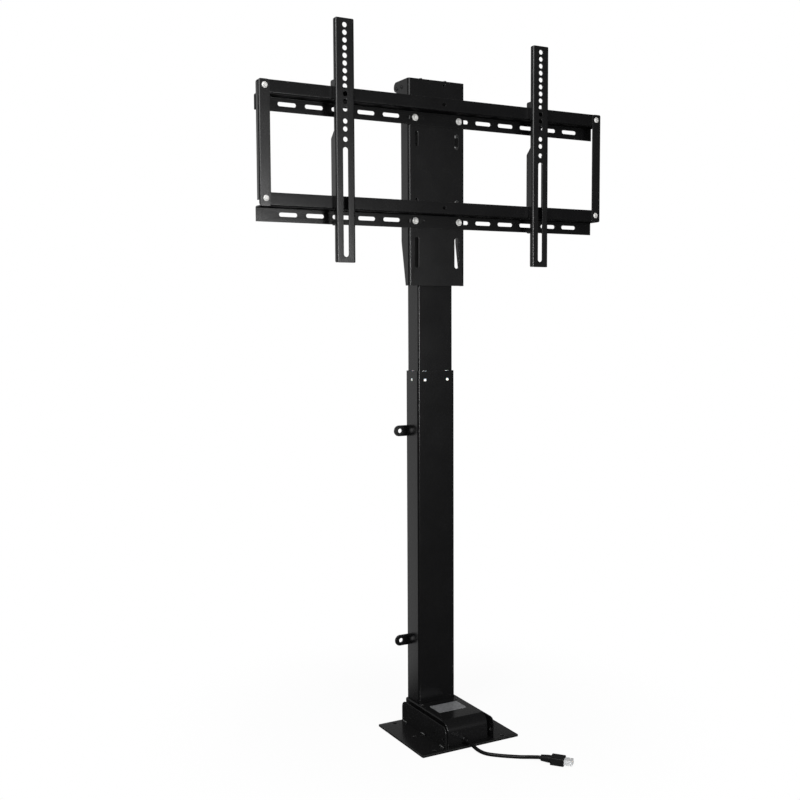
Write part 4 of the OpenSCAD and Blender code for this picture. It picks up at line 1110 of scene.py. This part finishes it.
@dataclass
class Column:
    """Outer and inner tubes, guide pads, wall straps and their screws."""

    tube_edge: float = 0.3 * MM
    strap_edge: float = 0.4 * MM
    pad_edge: float = 0.15 * MM
    shelter_rise: float = 15 * MM
    strap_screw: Fastener = Fastener(7 * MM, 2.4 * MM, 3 * MM, 4.5 * MM, seed=5)

    def build(self) -> None:
        """Make the column's pieces."""
        Softened("outer_column", TUBE_COAT, self.tube_edge, WORN_HIGHLIT_EDGE_COAT).build()
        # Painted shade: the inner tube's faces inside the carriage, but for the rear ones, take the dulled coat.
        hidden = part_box("carriage_channel")[0].z + self.shelter_rise
        Softened("inner_column", TUBE_COAT, self.tube_edge, WORN_HIGHLIT_EDGE_COAT, sheltered=PAINTED_SHADE_COAT,
                 sheltered_above=hidden).build()
        for node in ("upper_wall_strap", "lower_wall_strap"):
            Softened(node, SATIN_COAT, self.strap_edge, WORN_HIGHLIT_EDGE_COAT).build()
        Softened("upper_guide_pads", NYLON, self.pad_edge).build()
        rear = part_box("upper_wall_strap")[1].y
        seats = self.strap_screw.corners("wall_strap_screws", (0, 1, 0), rear)
        self.strap_screw.build("wall_strap_screws", seats, BLACK_SCREW)


@dataclass
class Carriage:
    """The bent carriage channel, dark bars behind its short slots as painted shade, its top bracket and their
    screws.
    """

    edge: float = 0.35 * MM
    sheet: float = 2.5 * MM
    slot_drops: Span = (105.3 * MM, 223.3 * MM)
    shade_bar: Point = (11 * MM, 2 * MM, 15 * MM)
    shade_bar_x: float = 45.5 * MM
    top_screw: Fastener = Fastener(10 * MM, 5 * MM, 6 * MM, 13 * MM, seed=7)
    ear_screw: Fastener = Fastener(9 * MM, 2.6 * MM, 5 * MM, 5.5 * MM, seed=8)

    def ear_seats(self) -> list[Seat]:
        """Give the ear screws' seats on both flanges.

        Returns:
            The left flange's seats, then the right one's.
        """
        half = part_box("carriage_channel")[1].x
        return [seat for side in (-1.0, 1.0)
                for seat in self.ear_screw.corners("ear_screws", (side, 0, 0), side * half)]

    def shade_bars_behind_slots(self) -> bpy.types.Object:
        """Lay a small dark bar behind the middle of each short slot, clear of the outer tube, as painted shade
        inside the slot.

        Returns:
            The bars as one piece.
        """
        # Painted shade: dull black bars behind the slots make them look dark inside, where there is only shade.
        low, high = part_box("carriage_channel")
        behind = low.y + self.sheet + self.shade_bar[1] / 2
        seats = [Seat(Vector((side * self.shade_bar_x, behind, high.z - drop)), Vector((0, 0, 1)))
                 for side in (-1, 1) for drop in self.slot_drops]
        piece = small_bars("slot_shade_bars", seats, self.shade_bar, PAINTED_SHADE_COAT)
        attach(piece, BODY_OF["carriage_channel"])
        return piece

    def build(self) -> None:
        """Make the carriage's pieces."""
        self.shade_bars_behind_slots()
        for node in ("carriage_channel", "top_bracket"):
            Softened(node, SATIN_COAT, self.edge, WORN_HIGHLIT_EDGE_COAT).build()
        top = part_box("top_bracket")[1].z
        self.top_screw.build("top_screws", self.top_screw.corners("top_screws", (0, 0, 1), top), BLACK_SCREW)
        self.ear_screw.build("ear_screws", self.ear_seats(), BLACK_SCREW)


@dataclass
class RailFrame:
    """The two rails, the straps across their ends, bolts and nuts."""

    edge: float = 0.3 * MM
    rail_bolt: Fastener = Fastener(12 * MM, 4 * MM, 6 * MM, 10.3 * MM, Recess.NONE, 11)
    strap_bolt: Fastener = Fastener(10 * MM, 3.5 * MM, 6 * MM, 9.8 * MM, Recess.CROSS, 12)

    def build(self) -> None:
        """Make the rails' pieces."""
        for node in ("upper_rail", "lower_rail"):
            # Painted shade: the rails' downward faces under their ledges take the dulled coat.
            Softened(node, RAIL_COAT, self.edge, WORN_HIGHLIT_EDGE_COAT, sheltered=PAINTED_SHADE_COAT).build()
        for node in ("left_end_strap", "right_end_strap"):
            Softened(node, ARM_COAT, self.edge, WORN_HIGHLIT_EDGE_COAT).build()
        for node in ("rail_nuts", "strap_nuts"):
            Softened(node, ZINC, self.edge).build()
        for node, bolt in (("rail_bolts", self.rail_bolt), ("strap_bolts", self.strap_bolt)):
            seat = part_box(node)[0].y + bolt.head_h
            bolt.build(node, bolt.corners(node, (0, -1, 0), seat), ZINC)


@dataclass
class TelevisionArms:
    """The two hooked arms with the television's holes."""

    edge: float = 0.3 * MM

    def build(self) -> None:
        """Make both arms."""
        for node in ("left_arm", "right_arm"):
            Softened(node, ARM_COAT, self.edge, WORN_HIGHLIT_EDGE_COAT).build()


@dataclass
class DriveTrain:
    """Everything inside the column and housing, which keeps its CAD shape."""

    def build(self) -> None:
        """Give each node that nothing stands for its slot's finish."""
        for name, node in frame["nodes"].items():
            if not node.hide_render:
                node.data.materials.clear()
                node.data.materials.append(SLOT_FINISH[SLOT_OF[name]].material())
                log.info("%s keeps its shape, %s", name, SLOT_OF[name])


@dataclass(frozen=True)
class Lamp:
    """A soft rectangular lamp that the camera doesn't see; its power is in watts."""

    name: str
    place: Point
    target: Point
    size: Span
    power: float

    def hang(self) -> None:
        """Put the lamp in its place, turned to its target."""
        data = bpy.data.lights.new(self.name, "AREA")
        data.shape, data.energy = "RECTANGLE", self.power
        data.size, data.size_y = self.size
        made = linked(self.name, data)
        aim = Vector(self.target) - Vector(self.place)
        turn = aim.to_track_quat("-Z", "Y").to_matrix().to_4x4()
        made.matrix_world = Matrix.Translation(Vector(self.place)) @ turn
        made.visible_camera = False


@dataclass
class Studio:
    """White sweep, soft lamps and the camera at the photograph's angle."""

    lens: float = 47.79
    sensor: float = 36.0
    clip: Span = (0.05, 60.0)
    eye: Point = (-0.98357, -1.69351, 0.75765)
    azimuth: float = math.radians(28.52)
    pitch: float = math.radians(4.36)
    roll: float = math.radians(-0.28)
    floor_half: float = 9.0
    floor_drop: float = 0.2 * MM
    floor_greys: Span = (0.88, 0.92)
    floor_grain: float = 20 * MM
    shadow_edge: Span = (0.2, 0.6)
    shadow_white: float = 0.93
    ambient: float = 0.45
    room: float = 0.035
    backdrop: float = 0.62
    backdrop_edge: Span = (0.7, 0.88)
    backdrop_start: Span = (0.05, 0.4)
    backdrop_top: Span = (0.1, 0.38)
    backdrop_fade: float = 0.7
    lamps: tuple[Lamp, ...] = (
        Lamp("front_left", (-1.36, -2.67, 1.9), (0.0, 0.0, 1.0), (3.0, 1.6), 38.0),
        Lamp("low_front", (0.42, -2.97, 0.7), (0.0, 0.0, 0.7), (0.63, 0.6), 32.0),
        Lamp("upper_left", (-1.2, -0.85, 2.0), (0.0, -0.05, 0.05), (0.5, 0.5), 14.0))

    def camera(self) -> None:
        """Place the camera."""
        ahead = Vector((math.sin(self.azimuth) * math.cos(self.pitch),
                        math.cos(self.azimuth) * math.cos(self.pitch), -math.sin(self.pitch)))
        level = Vector((math.cos(self.azimuth), -math.sin(self.azimuth), 0.0))
        above = level.cross(ahead)
        right = level * math.cos(self.roll) + above * math.sin(self.roll)
        up = above * math.cos(self.roll) - level * math.sin(self.roll)
        data = bpy.data.cameras.new("camera")
        data.lens, data.sensor_width, data.sensor_fit = self.lens, self.sensor, "HORIZONTAL"
        data.clip_start, data.clip_end = self.clip
        made = linked("camera", data)
        turn = Matrix((right, up, -ahead)).transposed().to_4x4()
        made.matrix_world = Matrix.Translation(Vector(self.eye)) @ turn
        bpy.context.scene.camera = made

    def sky(self) -> None:
        """White to the camera; to the lift's gloss a bright backdrop behind it and a dim room elsewhere."""
        world = bpy.data.worlds.new("studio")
        graph = emptied(world)
        path = graph.node("ShaderNodeLightPath", out="Is Camera Ray")
        way = graph.node("ShaderNodeSeparateXYZ", {}, {0: graph.node("ShaderNodeTexCoord", out="Generated")})
        low = 1.0 - way.also("Z").rises(*self.backdrop_top) * self.backdrop_fade
        gloss = self.room + way.also("Y").rises(*self.backdrop_edge) * low * (self.backdrop - self.room)
        mirror = path.also("Is Glossy Ray").at_least(path.also("Is Transmission Ray"))
        seen = gloss * mirror + self.ambient * (1.0 - mirror)
        level = path + seen * (1.0 - path)
        light = graph.node("ShaderNodeBackground", {}, {"Color": level, "Strength": 1.0})
        graph.node("ShaderNodeOutputWorld", {}, {"Surface": light})
        bpy.context.scene.world = world

    def floor_material(self) -> bpy.types.Material:
        """Make a pale paper that keeps a soft shadow and runs out to white.

        Returns:
            The floor's material.
        """
        made = bpy.data.materials.new("pale_floor")
        graph = emptied(made)
        path = graph.node("ShaderNodeLightPath", out="Is Camera Ray")
        place = graph.node("ShaderNodeTexCoord", out="Object")
        flat = graph.node("ShaderNodeSeparateXYZ", {}, {0: place})
        deep = flat.also("Y")
        away = (flat * flat + deep * deep) ** 0.5
        far = away.rises(*self.shadow_edge)
        dark, pale = (rgba((grey, grey, grey)) for grey in self.floor_greys)
        grain = graph.noise(place, self.floor_grain)
        paper = graph.node("ShaderNodeBsdfDiffuse", {}, {"Color": graph.blend(grain, dark, pale)})
        mirror = path.also("Is Glossy Ray")
        behind = (deep / away.at_least(MM)).rises(*self.backdrop_edge) * away.rises(*self.backdrop_start)
        shine = self.room + behind * (self.backdrop - self.room)
        white = graph.node("ShaderNodeEmission", {}, {"Color": 1.0 - mirror * (1.0 - shine), "Strength": 1.0})
        clear = self.shadow_white + far * (1.0 - self.shadow_white)
        share = path * clear + mirror.at_least(path.also("Is Transmission Ray"))
        mix = graph.node("ShaderNodeMixShader", {}, {0: share, 1: paper, 2: white})
        graph.node("ShaderNodeOutputMaterial", {}, {"Surface": mix})
        return made

    def floor(self) -> None:
        """Lay the floor just under the lift."""
        half, level = self.floor_half, -self.floor_drop
        corners = [(-half, -half, level), (half, -half, level), (half, half, level), (-half, half, level)]
        mesh = bpy.data.meshes.new("floor")
        mesh.from_pydata(corners, [], [(0, 1, 2, 3)])
        mesh.materials.append(self.floor_material())
        linked("floor", mesh)

    def build(self) -> None:
        """Set up the studio."""
        self.camera()
        self.sky()
        self.floor()
        for lamp in self.lamps:
            lamp.hang()
        bpy.context.scene.view_settings.view_transform = "Standard"


class SubAssembly(Protocol):
    """Anything that main can build."""

    def build(self) -> None:
        """Make its pieces."""


def clear_defaults() -> None:
    """Remove what a fresh file holds apart from the frame."""
    known = set(frame["nodes"].values()) | set(frame["bodies"].values())
    for item in list(bpy.data.objects):
        if item not in known:
            bpy.data.objects.remove(item)


def main() -> None:
    """Build the studio, then each sub-assembly in order."""
    logging.basicConfig(level=logging.INFO, format="%(name)s: %(message)s")
    clear_defaults()
    parts: Sequence[SubAssembly] = (Studio(), MotorCable(), BaseHousing(), Column(), Carriage(), RailFrame(),
                                    TelevisionArms(), DriveTrain())
    for part in parts:
        part.build()
        log.info("%s done", type(part).__name__)


if __name__ == "__main__":
    main()
